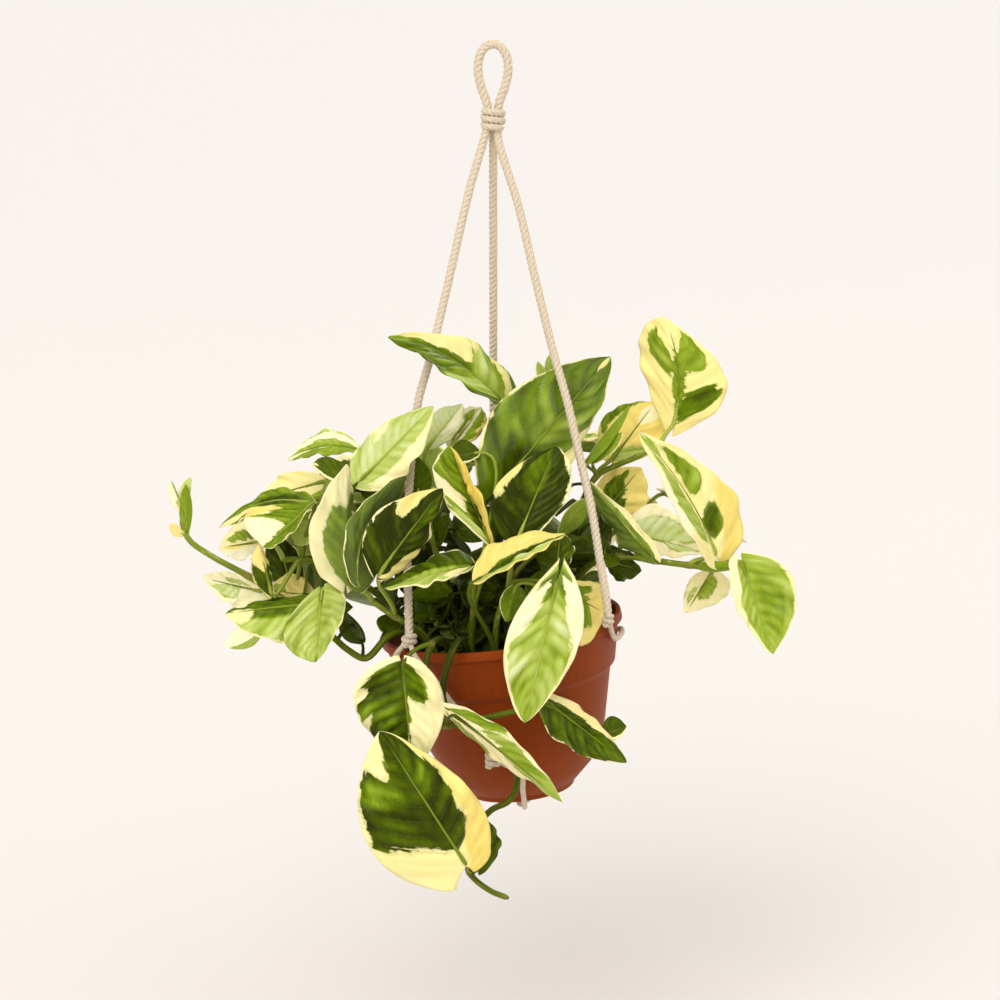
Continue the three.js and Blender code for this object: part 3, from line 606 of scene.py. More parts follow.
# Potting mix: a lumpy bed, with crumbs, bark and white grit on it
soil = {
    "depth": 11,
    "side": [(27.5, -84.6), (36.7, -76.4), (45.7, -57.2), (51.9, -28.2), (54.7, -25.2), (57.6, -11)],
    "lumpHeight": 1.6,
    "rings": (55.5, *range(52, 0, -4), 1),
    "segments": 72,
    "lumpyTo": 56,  # from the pot's middle
    "crumbs": 420,
    "crumbsTo": 55,
    "crumbSizes": (0.6, 1.7),
    "crumbShape": (1, 1, 0.8),
    "barkShape": (2.4, 0.9, 0.5),
    "barkFrom": 0.78,  # of a draw from 0 to 1
    "gritBetween": (0.6, 0.7),
    "crumbLift": 0.2,
    "smoothAngle": 50,
    "earth": ("#1a110b", "#4a3222"),
    "bark": "#8a6a48",
    "grit": "#e6e1d6",
}


def soilHeight(x, y):
    lumps = noise.noise(Vector((x, y, 0)) * 70) + 0.5 * noise.noise(Vector((x, y, 3)) * 190)
    return (-soil["depth"] + soil["lumpHeight"] * lumps) * mm


def soilFinish():
    earth = Finish("pottingMix", {"Specular IOR Level": 0.15})
    where = earth.place()
    crumb = earth.noise(where, 520, 4, 0.7)
    damp = earth.noise(where, 60, 2)
    tone = earth.attribute("tone")
    colour = earth.mix(crumb, *soil["earth"])
    colour = earth.mix((tone - 0.5).held() * 2, colour, soil["bark"])
    colour = earth.mix(((tone - 0.9) * 20).held(), colour, soil["grit"])
    earth.feed(Base_Color=colour, Roughness=0.8 + 0.18 * damp)
    earth.bump(crumb, 1, 0.0012)
    return earth.material


def makeSoil():
    top = [(r, -soil["depth"]) for r in soil["rings"]]
    bed = turned("soil", [*soil["side"], *top], soil["segments"])
    for vertex in bed.data.vertices:
        if vertex.co.z > -(soil["depth"] + 0.1) * mm and vertex.co.xy.length < soil["lumpyTo"] * mm:
            vertex.co.z = soilHeight(vertex.co.x, vertex.co.y)
    pieces = [bed]
    for i in range(soil["crumbs"]):
        radius = soil["crumbsTo"] * math.sqrt(random.random()) * mm
        angle = random.uniform(0, 2 * math.pi)
        x, y = radius * math.cos(angle), radius * math.sin(angle)
        if i == 0:
            bpy.ops.mesh.primitive_ico_sphere_add(subdivisions=1, radius=1)
            crumb = bpy.context.object
            for vertex in crumb.data.vertices:
                vertex.co *= random.uniform(0.75, 1.2)
        else:
            crumb = pieces[1].copy()
            crumb.data = pieces[1].data.copy()
            bpy.context.collection.objects.link(crumb)
        kind = random.random()
        bark = kind > soil["barkFrom"]
        grit = soil["gritBetween"][0] < kind < soil["gritBetween"][1]
        size = random.uniform(*soil["crumbSizes"]) * mm
        stretch = soil["barkShape"] if bark else soil["crumbShape"]
        crumb.scale = [size * k for k in stretch]
        crumb.rotation_euler = [random.uniform(0, math.tau) for _ in range(3)]
        crumb.location = (x, y, soilHeight(x, y) + soil["crumbLift"] * mm)
        pieces.append(crumb)
        crumb["tone"] = 0.95 if grit else 0.62 if bark else random.uniform(0, 0.4)
    for piece in pieces:
        setAttributes(piece.data, tone=[piece.get("tone", 0.2)] * len(piece.data.vertices))
    whole = joined(pieces)
    whole.matrix_world = potFrame
    whole.data.materials.clear()
    whole.data.materials.append(soilFinish())
    bpy.ops.object.shade_smooth_by_angle(angle=math.radians(soil["smoothAngle"]))
    handOver(whole, "pottingMix", "soil", "soil")


makeSoil()
print("soil made")


# Leaves. A blade's paint is 0 for the darkest green to 1 for the palest, or below 0 for cream, down
# to -1 for ochre; the yellow and ochre paints stand partly for light shining through the cream and for
# its shade, as painted light and shade. A mark is an area of the blade with a paint of its own: its place
# along and across, its half length and half width, and its paint. Edges are the widths of the cream
# margins.
blade = {
    "roundness": 0.75,
    "belly": 0.7,  # a higher one puts a leaf's widest place nearer its tip
    "lobes": (0.09, 0.09),  # how far each margin reaches back past the stalk
    "spread": (0, 0),  # how far out a lobe's end lies
    "lobeFade": 0.15,
    "leastHalfWidth": 1.3,
    "flatBase": 0.1,
    "flatTip": 0.15,
    "waves": 14,
    "waveHeight": 1.1,
    "cupHeight": 0.8,
    "thickness": 0.55,
    "columns": 30,
    "smallColumns": 16,
    "smallLength": 28,
    "rowLength": 1.2,
    "leastRows": 24,
    "mostRows": 62,
    "rowBunching": 1.35,  # towards the base
    "plantMiddle": (0, 0, -270),
    "topsFace": (0, -0.2, 0.45),  # besides away from the plant's middle
    "teeth": 27,
    "veins": 9,
    "veinSlant": 0.28,
    "veinBend": 1.3,
    "pucker": 2.4,
    "puckersAlong": 1.15,  # to a vein
    "puckersAcross": 2.6,  # from midrib to margin
    "swell": 0.7,
    "frill": 1.1,
    "groove": 0.9,
    "grooveWidth": 1.3,
    "grooveFrom": 8,  # full depth at this half width
    "detailFrom": 12,  # full height at this half width
    # Painted light and shade of the relief: raised places are painted paler, hollows and the sunk midrib
    # darker
    "paintedReliefShading": 0.1,  # a pucker's top is paler by this for each millimetre
    "markRoundness": 2.6,
    "lengthToWidth": 2.2,
    "edgeSlope": 2.2,  # how fast cream gives way to green
    "softEdge": 0.12,
    "sheen": 0.15,
    "greens": [
        (0, "#232c00"), (0.2, "#425200"), (0.4, "#627c04"), (0.6, "#90a62c"), (0.8, "#bac868"),
        (1, "#dae2ae"),
    ],
    # Cream to ochre: the real cream, with yellow and ochre that stand partly for light through the leaf and
    # for shade on it, painted
    "creams": [(0, "#fdf4d6"), (0.3, "#fbedaa"), (0.55, "#f7df84"), (0.8, "#dfc050"), (1, "#b5942c")],
    "halo": "#b9c47c",  # where cream meets green
    "fleck": "#9db35e",
    "midrib": "#ccd38c",
    "vein": "#c5cf86",
    "underside": "#b4c283",
    "shine": "#d8e078",
}


def leafColours(skin, underside):
    u, v = skin.flow()
    across = u * 2 - 1
    side = abs(across)
    seed = skin.attribute("seed")
    q = v - blade["veinSlant"] * side ** blade["veinBend"]
    half = skin.node("ShaderNodeMath", {"operation": "GREATER_THAN"}, {0: across, 1: 0.0})
    shift = seed * 91 + half * 37
    broad = skin.dice((q * blade["veins"]).floor() + shift)
    teeth = skin.dice((q * blade["teeth"]).floor() + shift + 11)
    cloudy = skin.noise(skin.vector(q * 9, across * 4, seed * 40), 1, 3, 0.65)
    streaky = skin.noise(skin.vector(q * 60, across * 7, seed * 40), 1, 2, 0.6)
    edge = skin.attribute("field") + (broad - 0.5) * 0.16 + (teeth - 0.5) * 0.1
    edge = edge + (cloudy - 0.5) * 0.45 + (streaky - 0.5) * 0.06
    green = (edge * 24 + 0.5).held()
    mottled = skin.noise(skin.vector(q * 16, across * 6, seed * 40 + 5), 1, 2, 0.5)
    plain = skin.attribute("tone")
    varied = (cloudy - 0.5) * 0.45 + (broad - 0.5) * 0.1 + (mottled - 0.5) * 0.2
    tone = plain + varied * (1.1 - plain * 0.9)
    warm = skin.attribute("warm") + (cloudy - 0.5) * 0.3 + (streaky - 0.5) * 0.15
    # Painted light and shade: the blade is painted paler between the side veins, on the pucker tops, and
    # darker along them
    paintedPuckerLight = abs((q * (blade["veins"] * math.pi)).sine())
    tone = tone + (paintedPuckerLight - 0.6) * 0.05
    leafGreen = skin.ramp(tone.held(), blade["greens"])
    cream = skin.ramp(warm.held(), blade["creams"])
    halo = (1 - abs(edge + 0.05) * 16).held() * 0.45
    cream = skin.mix(halo, cream, blade["halo"])
    fleck = skin.noise(skin.vector(v * 70, across * 34, seed * 40), 1, 1)
    cream = skin.mix(((fleck - 0.72) * 14).held() * 0.5, cream, blade["fleck"])
    colour = skin.mix(green, cream, leafGreen)
    ridge = (1 - side * (36 if underside else 50)).held() * (1 - v * 0.7)
    colour = skin.mix(ridge * 0.45, colour, blade["midrib"])
    lateral = abs((q * blade["veins"] + 0.5).fraction() - 0.5)
    vein = (1 - lateral * 16).held() * (1 - side * 0.7)
    colour = skin.mix(vein * (0.25 if underside else 0.05), colour, blade["vein"])
    return colour, green, vein, ridge, cloudy, q, across, seed


def leafFinish(name, underside):
    fixed = {
        "Specular IOR Level": 0.12 if underside else 0.2,
        "Specular Tint": shade(blade["shine"]),
        "Subsurface Weight": 0.22,
        "Subsurface Radius": (1.0, 0.9, 0.3),
        "Subsurface Scale": 0.0014,
        "Coat Roughness": 0.18,
    }
    skin = Finish(name, fixed)
    colour, green, vein, ridge, cloudy, q, across, seed = leafColours(skin, underside)
    cells = skin.noise(skin.vector(q * 210, across * 120, seed * 40), 1, 1)
    if underside:
        colour = skin.mix(0.16, colour, blade["underside"])
        skin.feed(Base_Color=colour, Roughness=0.55 + 0.1 * cells)
    else:
        skin.feed(Base_Color=colour, Roughness=0.26 + 0.16 * cloudy + 0.1 * cells)
        skin.feed(Coat_Weight=skin.attribute("sheen") * (0.1 + green * 0.3))
    relief = vein * (0.8 if underside else -0.6) + cells * 0.3 + ridge * (0.6 if underside else -0.4)
    skin.bump(relief, 0.3, 0.0006)
    return skin.material


leafTop = leafFinish("leafTop", False)
leafUnderside = leafFinish("leafUnderside", True)


def halfWidths(s, belly):
    return np.maximum(0, np.sin(np.pi * s ** belly)) ** blade["roundness"]


def leafFrame(leaf):
    keys = ("base", "tip", "left", "right", "bow")
    base, tip, left, right, bow = [np.array(leaf.get(key, (0, 0, 0)), float) * mm for key in keys]
    along = tip - base
    across = right - left
    normal = np.cross(across, along)
    return base, along, left, right, across, bow, normal / np.linalg.norm(normal)


def midrib(leaf, s):
    base, along, _, _, _, bow, _ = leafFrame(leaf)
    return base + along * s + bow * 4 * s * (1 - s)


# Points of a blade's middle surface: s runs from base to tip, t from -1 at one margin to 1 at the other
def bladePoints(leaf, s, t):
    base, along, left, right, across, bow, normal = leafFrame(leaf)
    side = np.abs(t)
    fade = np.exp(-s / blade["lobeFade"])
    lobe = np.where(t < 0, *leaf.get("lobes", blade["lobes"])) * side ** 1.5 * fade
    run = (s - lobe)[:, None]
    spine = base + along * run + bow * 4 * run * (1 - run)
    level = np.maximum(1 - s / blade["flatBase"], (s - 1 + blade["flatTip"]) / blade["flatTip"])
    level = np.clip(level, 0, 1)[:, None]
    way = np.where(t[:, None] < 0, left, right)
    flat = across * np.where(t[:, None] < 0, -0.5, 0.5)
    way = way * (1 - level) + flat * level
    reach = np.maximum(np.linalg.norm(way, axis=1), mm)
    least = blade["leastHalfWidth"] * mm / reach * np.sqrt(np.clip((1 - s) * 8, 0.02, 1))
    spread = np.where(t < 0, *leaf.get("spread", blade["spread"])) * fade
    width = np.maximum(halfWidths(s, leaf.get("belly", blade["belly"])) + spread, least)
    points = spine + way * (side * width)[:, None]
    if not leaf.get("small"):
        wave = blade["waveHeight"] * np.sin(blade["waves"] * s + 2.1 * np.sign(t)) * side ** 2
        cup = blade["cupHeight"] * 4 * side * (1 - side)
        points = points + normal * ((wave + cup) * np.sin(np.pi * s) * mm)[:, None]
    return points, reach * width


def smoothStep(x):
    x = np.clip(x, 0, 1)
    return x * x * (3 - 2 * x)


# Smooth hills from 0 to 1, of a size of 1 either way
def hills(x, y, phase):
    def corner(i, j):
        return np.abs(np.modf(np.sin(i * 127.1 + j * 311.7 + phase * 74.7) * 43758.5453)[0])
    i, j = np.floor(x), np.floor(y)
    u, v = smoothStep(x - i), smoothStep(y - j)
    low = corner(i, j) * (1 - u) + corner(i + 1, j) * u
    high = corner(i, j + 1) * (1 - u) + corner(i + 1, j + 1) * u
    return low * (1 - v) + high * v


# Puckers between the side veins, a sunk midrib and a waved margin
def bladeDetail(leaf, s, t, halfWidth, phase):
    side = np.abs(t)
    half = np.sign(t)
    bend = 0.25 * np.sin(4.3 * s + 11 * phase + 1.7 * half) + 0.18 * np.sin(7.1 * side + 5 * phase)
    q = blade["veins"] * (s - blade["veinSlant"] * side ** blade["veinBend"]) + bend * side
    fade = np.sqrt(np.clip(np.sin(np.pi * s), 0, 1)) * np.clip(halfWidth / (blade["detailFrom"] * mm), 0, 1)
    ruffle = leaf.get("ruffle", 1)
    arch = np.sin(np.pi * np.clip(side * 1.05, 0, 1)) ** 0.7
    rough = hills(q * blade["puckersAlong"], side * blade["puckersAcross"] + 9 * half, phase)
    pucker = (0.55 * rough + 0.45 * np.abs(np.sin(np.pi * q)) * (0.3 + rough) - 0.4) * arch
    swell = np.sin(2 * np.pi * (0.31 * q + phase + 0.2 * half)) * side ** 1.5
    frill = np.sin(2 * np.pi * (0.46 * q + 2.3 * phase + 0.3 * half)) * side ** 3
    groove = -np.exp(-(t * halfWidth / (blade["grooveWidth"] * mm)) ** 2) * np.sqrt(np.clip(1 - s, 0, 1))
    height = (blade["pucker"] * pucker + blade["swell"] * swell) * ruffle + blade["frill"] * frill
    depth = blade["groove"] * groove * np.clip(halfWidth / (blade["grooveFrom"] * mm), 0, 1)
    return (height * fade + depth) * mm


def bladePaint(leaf, s, t):
    side = np.abs(t)
    slanted = s - blade["veinSlant"] * side ** blade["veinBend"]
    power, slope = blade["markRoundness"], blade["edgeSlope"]
    paint = leaf["paint"]
    field = np.full(len(s), 1.0 if paint >= 0 else -1.0)
    tone = np.full(len(s), paint if paint >= 0 else 0.45)
    warm = np.full(len(s), -paint if paint < 0 else 0.25)
    for markS, markT, halfLength, halfAcross, paint in leaf.get("marks", []):
        middle = markS - blade["veinSlant"] * abs(markT) ** blade["veinBend"]
        off = (np.abs(slanted - middle) / halfLength) ** power + (np.abs(t - markT) / halfAcross) ** power
        near = (1 - off ** (1 / power)) * min(halfLength * blade["lengthToWidth"], halfAcross)
        cover = smoothStep(near / blade["softEdge"] + 0.5)
        if paint >= 0:
            field = np.maximum(field, near * slope)
            tone = tone + (paint - tone) * cover
        else:
            field = np.minimum(field, -near * slope)
            warm = warm + (-paint - warm) * cover
    left, right = leaf.get("edges", (0, 0))
    for sign, width in ((-1, left), (1, right)):
        if width:
            inside = (1 - width) - side
            field = np.where(np.sign(t) == sign, np.minimum(field, inside * slope), field)
    return np.clip(field, -1, 1), tone, warm


def makeBlade(leaf, phase):
    base, along, _, _, _, bow, normal = leafFrame(leaf)
    length = np.linalg.norm(along)
    rows = int(min(max(length / mm / blade["rowLength"], blade["leastRows"]), blade["mostRows"]))
    columns = blade["columns" if length > blade["smallLength"] * mm else "smallColumns"]
    if "stalkTone" in leaf:
        columns, rows = inner["columns"], inner["rows"]
    clearSelection()
    bpy.ops.mesh.primitive_grid_add(x_subdivisions=columns, y_subdivisions=rows, size=2)
    piece = bpy.context.object
    mesh = piece.data
    flat = np.empty(len(mesh.vertices) * 3)
    mesh.vertices.foreach_get("co", flat)
    flat = flat.reshape(-1, 3)
    middle = Vector(base + along * 0.5 + bow)
    outward = (middle - Vector(blade["plantMiddle"]) * mm).normalized() + Vector(blade["topsFace"])
    facing = 1 if outward.dot(Vector(normal)) > 0 else -1
    s = ((flat[:, 1] + 1) / 2) ** blade["rowBunching"]
    t = flat[:, 0] * facing
    points, halfWidth = bladePoints(leaf, s, t)
    wide = int(np.sum(np.isclose(flat[:, 1], flat[0, 1])))
    grid = points.reshape(-1, wide, 3)
    upper = np.cross(np.gradient(grid, axis=1), np.gradient(grid, axis=0)).reshape(-1, 3)
    upper /= np.maximum(np.linalg.norm(upper, axis=1), 1e-12)[:, None]
    field, tone, warm = bladePaint(leaf, s, t)
    if not leaf.get("small"):
        rise = bladeDetail(leaf, s, t, halfWidth, phase)
        points = points + upper * rise[:, None]
        # Painted light and shade: the blade's raised places are painted paler, its hollows and sunk midrib
        # darker
        tone = tone + rise / mm * blade["paintedReliefShading"]
    mesh.vertices.foreach_set("co", points.ravel())
    seed, sheen = [np.full(len(s), value) for value in (phase, leaf.get("sheen", blade["sheen"]))]
    setAttributes(mesh, field=field, tone=tone, warm=warm, seed=seed, sheen=sheen)
    corners = np.empty(len(mesh.loops), int)
    mesh.loops.foreach_get("vertex_index", corners)
    mesh.uv_layers[0].name = "flow"
    mesh.uv_layers[0].data.foreach_set("uv", np.stack([(t[corners] + 1) / 2, s[corners]], 1).ravel())
    mesh.polygons.foreach_set("use_smooth", [True] * len(mesh.polygons))
    return piece, Vector(normal) * facing


# A stalk leaves the stem upwards, comes into the blade along its midrib, and goes on under it
stalk = {
    "stemShare": 0.78,  # a stem's radius here, of its radius in the CAD
    "endShare": 0.45,  # of its radius, at a stem's end
    # A stem's tone at the soil and its rise to the stem's end: the darker soil end is painted shade
    "tone": 0.22,  # at the soil
    "paintedShadeRise": 0.36,  # from there to the stem's end
    "rise": 0.25,
    "run": 0.35,
    "rootRadius": 1.5,
    "rootFade": 2.2,
    "smallRoot": 0.75,  # of its radius, for a small leaf
    "radius": 1.1,
    "smallRadius": 0.85,
    "intoBlade": 0.05,
    "ridgeEnd": 0.86,
    "ridgeSteps": 14,
    "ridgeTaper": 0.85,
    "ridgeShare": 0.9,  # of the stalk's radius, where it starts
    "ridgeTone": (0.5, 0.35),  # on the darkest leaf, and what the palest adds
    "toneSpread": 0.25,
    "stemSteps": 6,
    "stemTaper": (1.06, 0.28),
    "jointSpread": 0.12,
    "jointSwell": 0.22,
    "lastJoint": 0.985,  # of the stem's length
    "sides": 10,
    "greens": [(0, "#272c06"), (0.3, "#4c580e"), (0.6, "#83922e"), (0.85, "#b0ba58"), (1, "#d2d48c")],
    "streak": "#e6e0a8",
    "joint": "#8d7a3e",
}


def stemFinish():
    fixed = {"Specular IOR Level": 0.25, "Specular Tint": shade(blade["shine"]), "Subsurface Weight": 0.1}
    bark = Finish("stemSkin", {**fixed, "Subsurface Scale": 0.0015})
    around, along = bark.flow()
    tone = bark.attribute("tone")
    joint = bark.attribute("joint")
    streaks = bark.noise(bark.vector(around * 7, along * 0.22, tone * 40), 1, 3, 0.6)
    grain = bark.noise(bark.vector(around * 30, along * 3, 0), 1, 2)
    colour = bark.ramp((tone + (streaks - 0.5) * 0.4).held(), stalk["greens"])
    colour = bark.mix(((streaks - 0.62) * 9).held() * tone, colour, stalk["streak"])
    colour = bark.mix(joint * 0.6, colour, stalk["joint"])
    bark.feed(Base_Color=colour, Roughness=0.42 + 0.15 * grain)
    bark.bump(streaks * 0.5 + grain * 0.3, 0.3, 0.0005)
    return bark.material


stemSkin = stemFinish()


def bezier(a, b, c, d, w):
    return a * (1 - w) ** 3 + b * (3 * w * (1 - w) ** 2) + c * (3 * w * w * (1 - w)) + d * w ** 3


def stalkRun(leaf, root, under):
    into = stalk["intoBlade"]
    end = Vector(midrib(leaf, into))
    start = Vector(leaf["via"]) * mm if "via" in leaf else root
    reach = (start - end).length
    inward = Vector(midrib(leaf, 2 * into) - midrib(leaf, 0)).normalized()
    second = end - inward * stalk["run"] * reach
    if "via" in leaf:
        path = throughPoints([root, start, second, end], 5)
    else:
        first = (start + Vector((0, 0, stalk["rise"] * reach))).lerp(end, 0.2)
        steps = 4 if "stalkTone" in leaf else 12
        path = [bezier(root, first, second, end, k / steps) for k in range(steps + 1)]
    thin = stalk["smallRadius" if leaf.get("small") else "radius"] * mm
    thick = stalk["rootRadius"] * mm * (stalk["smallRoot"] if leaf.get("small") else 1)
    fades = [max(0, 1 - stalk["rootFade"] * i / (len(path) - 1)) for i in range(len(path))]
    radii = [thin + (thick - thin) * fade for fade in fades]
    if "stalkTone" in leaf:
        return path, radii
    for k in range(1, stalk["ridgeSteps"] + 1):
        s = into + (stalk["ridgeEnd"] - into) * k / stalk["ridgeSteps"]
        radius = thin * (1 - stalk["ridgeTaper"] * k / stalk["ridgeSteps"]) * stalk["ridgeShare"]
        centre = Vector(bladePoints(leaf, np.array([s]), np.array([0.0]))[0][0])
        path.append(centre + under * radius * min(1, 0.25 + k / 5))
        radii.append(radius)
    return path, radii


# A leaf: its place along the stem's points, its base and tip, and how far its margins lie to either side
def leafAt(at, base, tip, left, right, **looks):
    return {"at": at, "base": base, "tip": tip, "left": left, "right": right, **looks}


# Small dark leaves that fill the plant's inside, close round the lower part of a stem
inner = {
    "count": 12,
    "tries": 36,
    "columns": 6,
    "rows": 10,
    "stalkSides": 5,
    "from": 0.14,  # along the stem
    "to": 0.85,
    "least": (14, 5),  # length and half width
    "most": (27, 10),
    "reach": (5, 17),
    "lean": ((0, 0.8), (0.2, 0.7), (0.45, 0.5)),  # mean and spread along each axis
    "pull": (0.35, 30),  # towards the plant's middle: its share, over this distance
    "middleY": 10,
    "turn": 0.6,
    "fold": 0.35,
    "paint": (0.05, 0.3),
    "stalkTone": (0, 0.3),
    "box": ((-100, -30, -306), (62, 56, -224)),
}


def innerLeaves(path):
    leaves = {}
    low, high = metres(inner["box"])
    pull, distance = inner["pull"]
    for k in range(inner["tries"]):
        if len(leaves) == inner["count"]:
            break
        share = random.uniform(inner["from"], inner["to"])
        root = path[int(share * (len(path) - 1))]
        inwards = Vector((-root.x, inner["middleY"] * mm - root.y, 0)) * pull
        lean = Vector([random.gauss(*part) for part in inner["lean"]]) + inwards / (distance * mm)
        base = root + lean.normalized() * random.uniform(*inner["reach"]) * mm
        size = random.random()
        length, half = [a + (b - a) * size for a, b in zip(inner["least"], inner["most"])]
        way = (lean.normalized() + Vector([random.gauss(0, inner["turn"]) for _ in range(3)])).normalized()
        tip = base + way * length * mm
        if not all(a < c < b for a, b, c in [*zip(low, high, base), *zip(low, high, tip)]):
            continue
        across = way.cross(Vector([random.gauss(0, 1) for _ in range(3)])).normalized() * half
        fold = way.cross(across).normalized() * half * inner["fold"]
        corners = [tuple(corner) for corner in (base / mm, tip / mm, fold - across, across + fold)]
        tones = {key: random.uniform(*inner[key]) for key in ("paint", "stalkTone")}
        leaves[f"inner{k}"] = leafAt(share, *corners, small=True, **tones)
    return leaves


def growVine(node, vine):
    stem = metres(vine["stem"])
    steps, spread = stalk["stemSteps"], stalk["jointSpread"]
    path = throughPoints(stem, steps)
    joints = [leaf["at"] for leaf in vine["leaves"].values()]
    near = [max(math.exp(-((i / steps - at) / spread) ** 2) for at in joints) for i in range(len(path))]
    radii = []
    for i, swell in enumerate(near):
        taper = stalk["stemTaper"][0] - stalk["stemTaper"][1] * i / (len(path) - 1)
        radii.append(stalk["stemShare"] * vine["radius"] * mm * taper * (1 + stalk["jointSwell"] * swell))
    radii[-1] *= stalk["endShare"]
    # Painted shade: each stem is darker at the soil and paler towards its end, and its stalks take the tone
    # of their place on it
    tone = vine.get("stemTone", stalk["tone"])
    tones = [tone + stalk["paintedShadeRise"] * (i / (len(path) - 1)) ** 1.5 for i in range(len(path))]
    runs = [{"path": path, "radii": radii, "tones": tones, "joints": near}]
    innerRuns = []
    blades = []
    filling = innerLeaves(path)
    for name, leaf in {**vine["leaves"], **filling}.items():
        piece, upper = makeBlade(leaf, random.random())
        blades.append(piece)
        share = leaf["at"] if name in filling else leaf["at"] / (len(stem) - 1)
        spot = min(share, stalk["lastJoint"]) * (len(path) - 1)
        low = int(spot)
        root = path[low].lerp(path[min(low + 1, len(path) - 1)], spot - low)
        line, widths = stalkRun(leaf, root, -upper)
        if name in filling:
            innerRuns.append({"path": line, "radii": widths, "tone": leaf["stalkTone"]})
            continue
        shown = tones[low] + random.uniform(0, stalk["toneSpread"])
        bare = len(line) - stalk["ridgeSteps"]
        darkest, added = stalk["ridgeTone"]
        pale = darkest + added * max(leaf["paint"], 0)
        shades = [shown + (pale - shown) * min(1, max(0, k - bare) / 3) for k in range(len(line))]
        runs.append({"path": line, "radii": widths, "tones": shades})
    leaves = joined(blades)
    leaves.data.materials.append(leafTop)
    leaves.data.materials.append(leafUnderside)
    wall = leaves.modifiers.new("thickness", "SOLIDIFY")
    wall.thickness = blade["thickness"] * mm
    wall.offset = 0
    wall.material_offset = 1
    applyModifiers(leaves)
    stems = [sweep("stems", runs, stalk["sides"]), sweep("innerStalks", innerRuns, inner["stalkSides"])]
    for piece in stems:
        piece.data.materials.append(stemSkin)
    whole = joined([leaves, *stems])
    words = node.split("_")
    handOver(whole, words[0] + "".join(word.capitalize() for word in words[1:]), "foliage", node)
    print(node, "grown")


leftRunner = {
    "radius": 2.4,
    "stemTone": 0.28,
    "stem": [
        (-26, -21, -317), (-29, -22, -309), (-41, -27, -295), (-53, -35, -295), (-65, -39, -306),
        (-74, -38, -302), (-84, -38, -293), (-104, -36, -278), (-125, -34, -264), (-142, -32, -255),
        (-155, -30, -246), (-158, -29, -238), (-157, -29, -225),
    ],
    "leaves": {
        "frontBlade": leafAt(
            6, (-86, -56, -267), (-89, -62, -302), (-18, -2, -8), (13, 4, 5), paint=0.72, edges=(0, 0.06),
            ruffle=1.2, sheen=0.6, marks=[(0.35, 0.1, 0.2, 0.3, 0.66), (0.97, 0, 0.05, 0.6, 0.4)],
        ),
        "foldedBlade": leafAt(
            7, (-86, -48, -275), (-135, -52, -280), (-3, 17, 1), (0, -7, -17), paint=0.3, bow=(0, -4, 2),
            edges=(0.1, 0.06),
            marks=[(0.45, 0.72, 0.5, 0.46, 0.72), (0.92, 0.5, 0.14, 0.8, -0.35), (0.97, 0, 0.06, 1, -0.45)],
        ),
        "paleBlade": leafAt(
            8, (-119, -22, -275), (-150, -16, -269), (-5, 10, 5), (0, -6, -11), paint=-0.12,
            edges=(0.05, 0.08), ruffle=1.6,
            marks=[(0.6, 0.35, 0.22, 0.3, 0.86), (0.35, -0.4, 0.15, 0.25, 0.84)],
        ),
        "lowPale": leafAt(
            7, (-121, -26, -294), (-139, -22, -304), (-3, 4, 4), (3, -4, -5), paint=-0.08, small=True,
            marks=[(0.4, 0.8, 0.5, 0.35, 0.68)],
        ),
        "upperTip": leafAt(
            12, (-157, -29, -226), (-154, -28, -214), (-4, 2, 1), (2, -1, 0), paint=0.85, small=True,
            edges=(0.2, 0), marks=[(0.2, 0, 0.3, 0.5, 0.6)],
        ),
        "outerTip": leafAt(
            11, (-158, -29, -232), (-164, -28, -216), (-5, 3, 1), (1, -1, 1), paint=-0.1, small=True,
            marks=[(0.5, 0.8, 0.6, 0.4, 0.6), (0.1, 0.1, 0.3, 0.4, 0.7)],
        ),
        "rolledTip": leafAt(
            11, (-156, -31, -241), (-156, -31, -217), (-4, 2, 2), (3, 1, 2), paint=0.5, small=True,
            edges=(0.1, 0),
        ),
        "endBud": leafAt(
            11, (-158, -30, -243), (-165, -30, -239), (-2, 2, -3), (-1, -2, 4), paint=-0.45, small=True,
        ),
    },
}
growVine("vine_left_runner", leftRunner)

leftUpper = {
    "radius": 2.3,
    "stem": [
        (-26, -5, -317), (-28, -4, -311), (-41, -4, -284), (-59, -6, -254), (-74, -8, -232),
        (-87, -10, -228), (-100, -12, -232),
    ],
    "leaves": {
        "topPale": leafAt(
            4, (-69, -12, -203), (-106, -6, -209), (1, 7, 7), (1, -9, -3), paint=-0.12, bow=(0, 0, 5),
            belly=0.9, edges=(0.04, 0), ruffle=0.8,
            marks=[(0.5, -0.16, 0.55, 0.28, 0.62), (0.3, 0.6, 0.6, 0.5, 0.55), (0.4, -0.95, 0.5, 0.1, 0.8)],
        ),
        "darkShort": leafAt(
            4, (-74, -26, -216), (-92, -22, -208), (-1, 6, 7), (-3, -3, -2), paint=0.22, small=True,
            edges=(0, 0.3), marks=[(0.95, 0, 0.12, 1, -0.5)],
        ),
        "farYellow": leafAt(5, (-90, 12, -224), (-122, 20, -234), (-6, 7, 7), (-1, -5, -7), paint=-0.35),
        "hookTip": leafAt(
            6, (-94, -26, -228), (-140, -24, -241), (2, 11, 4), (-1, -13, -6), paint=0.4, bow=(0, 0, 7),
            edges=(0.05, 0.1), ruffle=1.2,
            marks=[(0.3, 0.35, 0.34, 0.8, 0.16), (0.86, 0.3, 0.2, 0.8, -0.35), (0.8, -0.3, 0.2, 0.35, 0.5)],
        ),
    },
}
growVine("vine_left_upper", leftUpper)

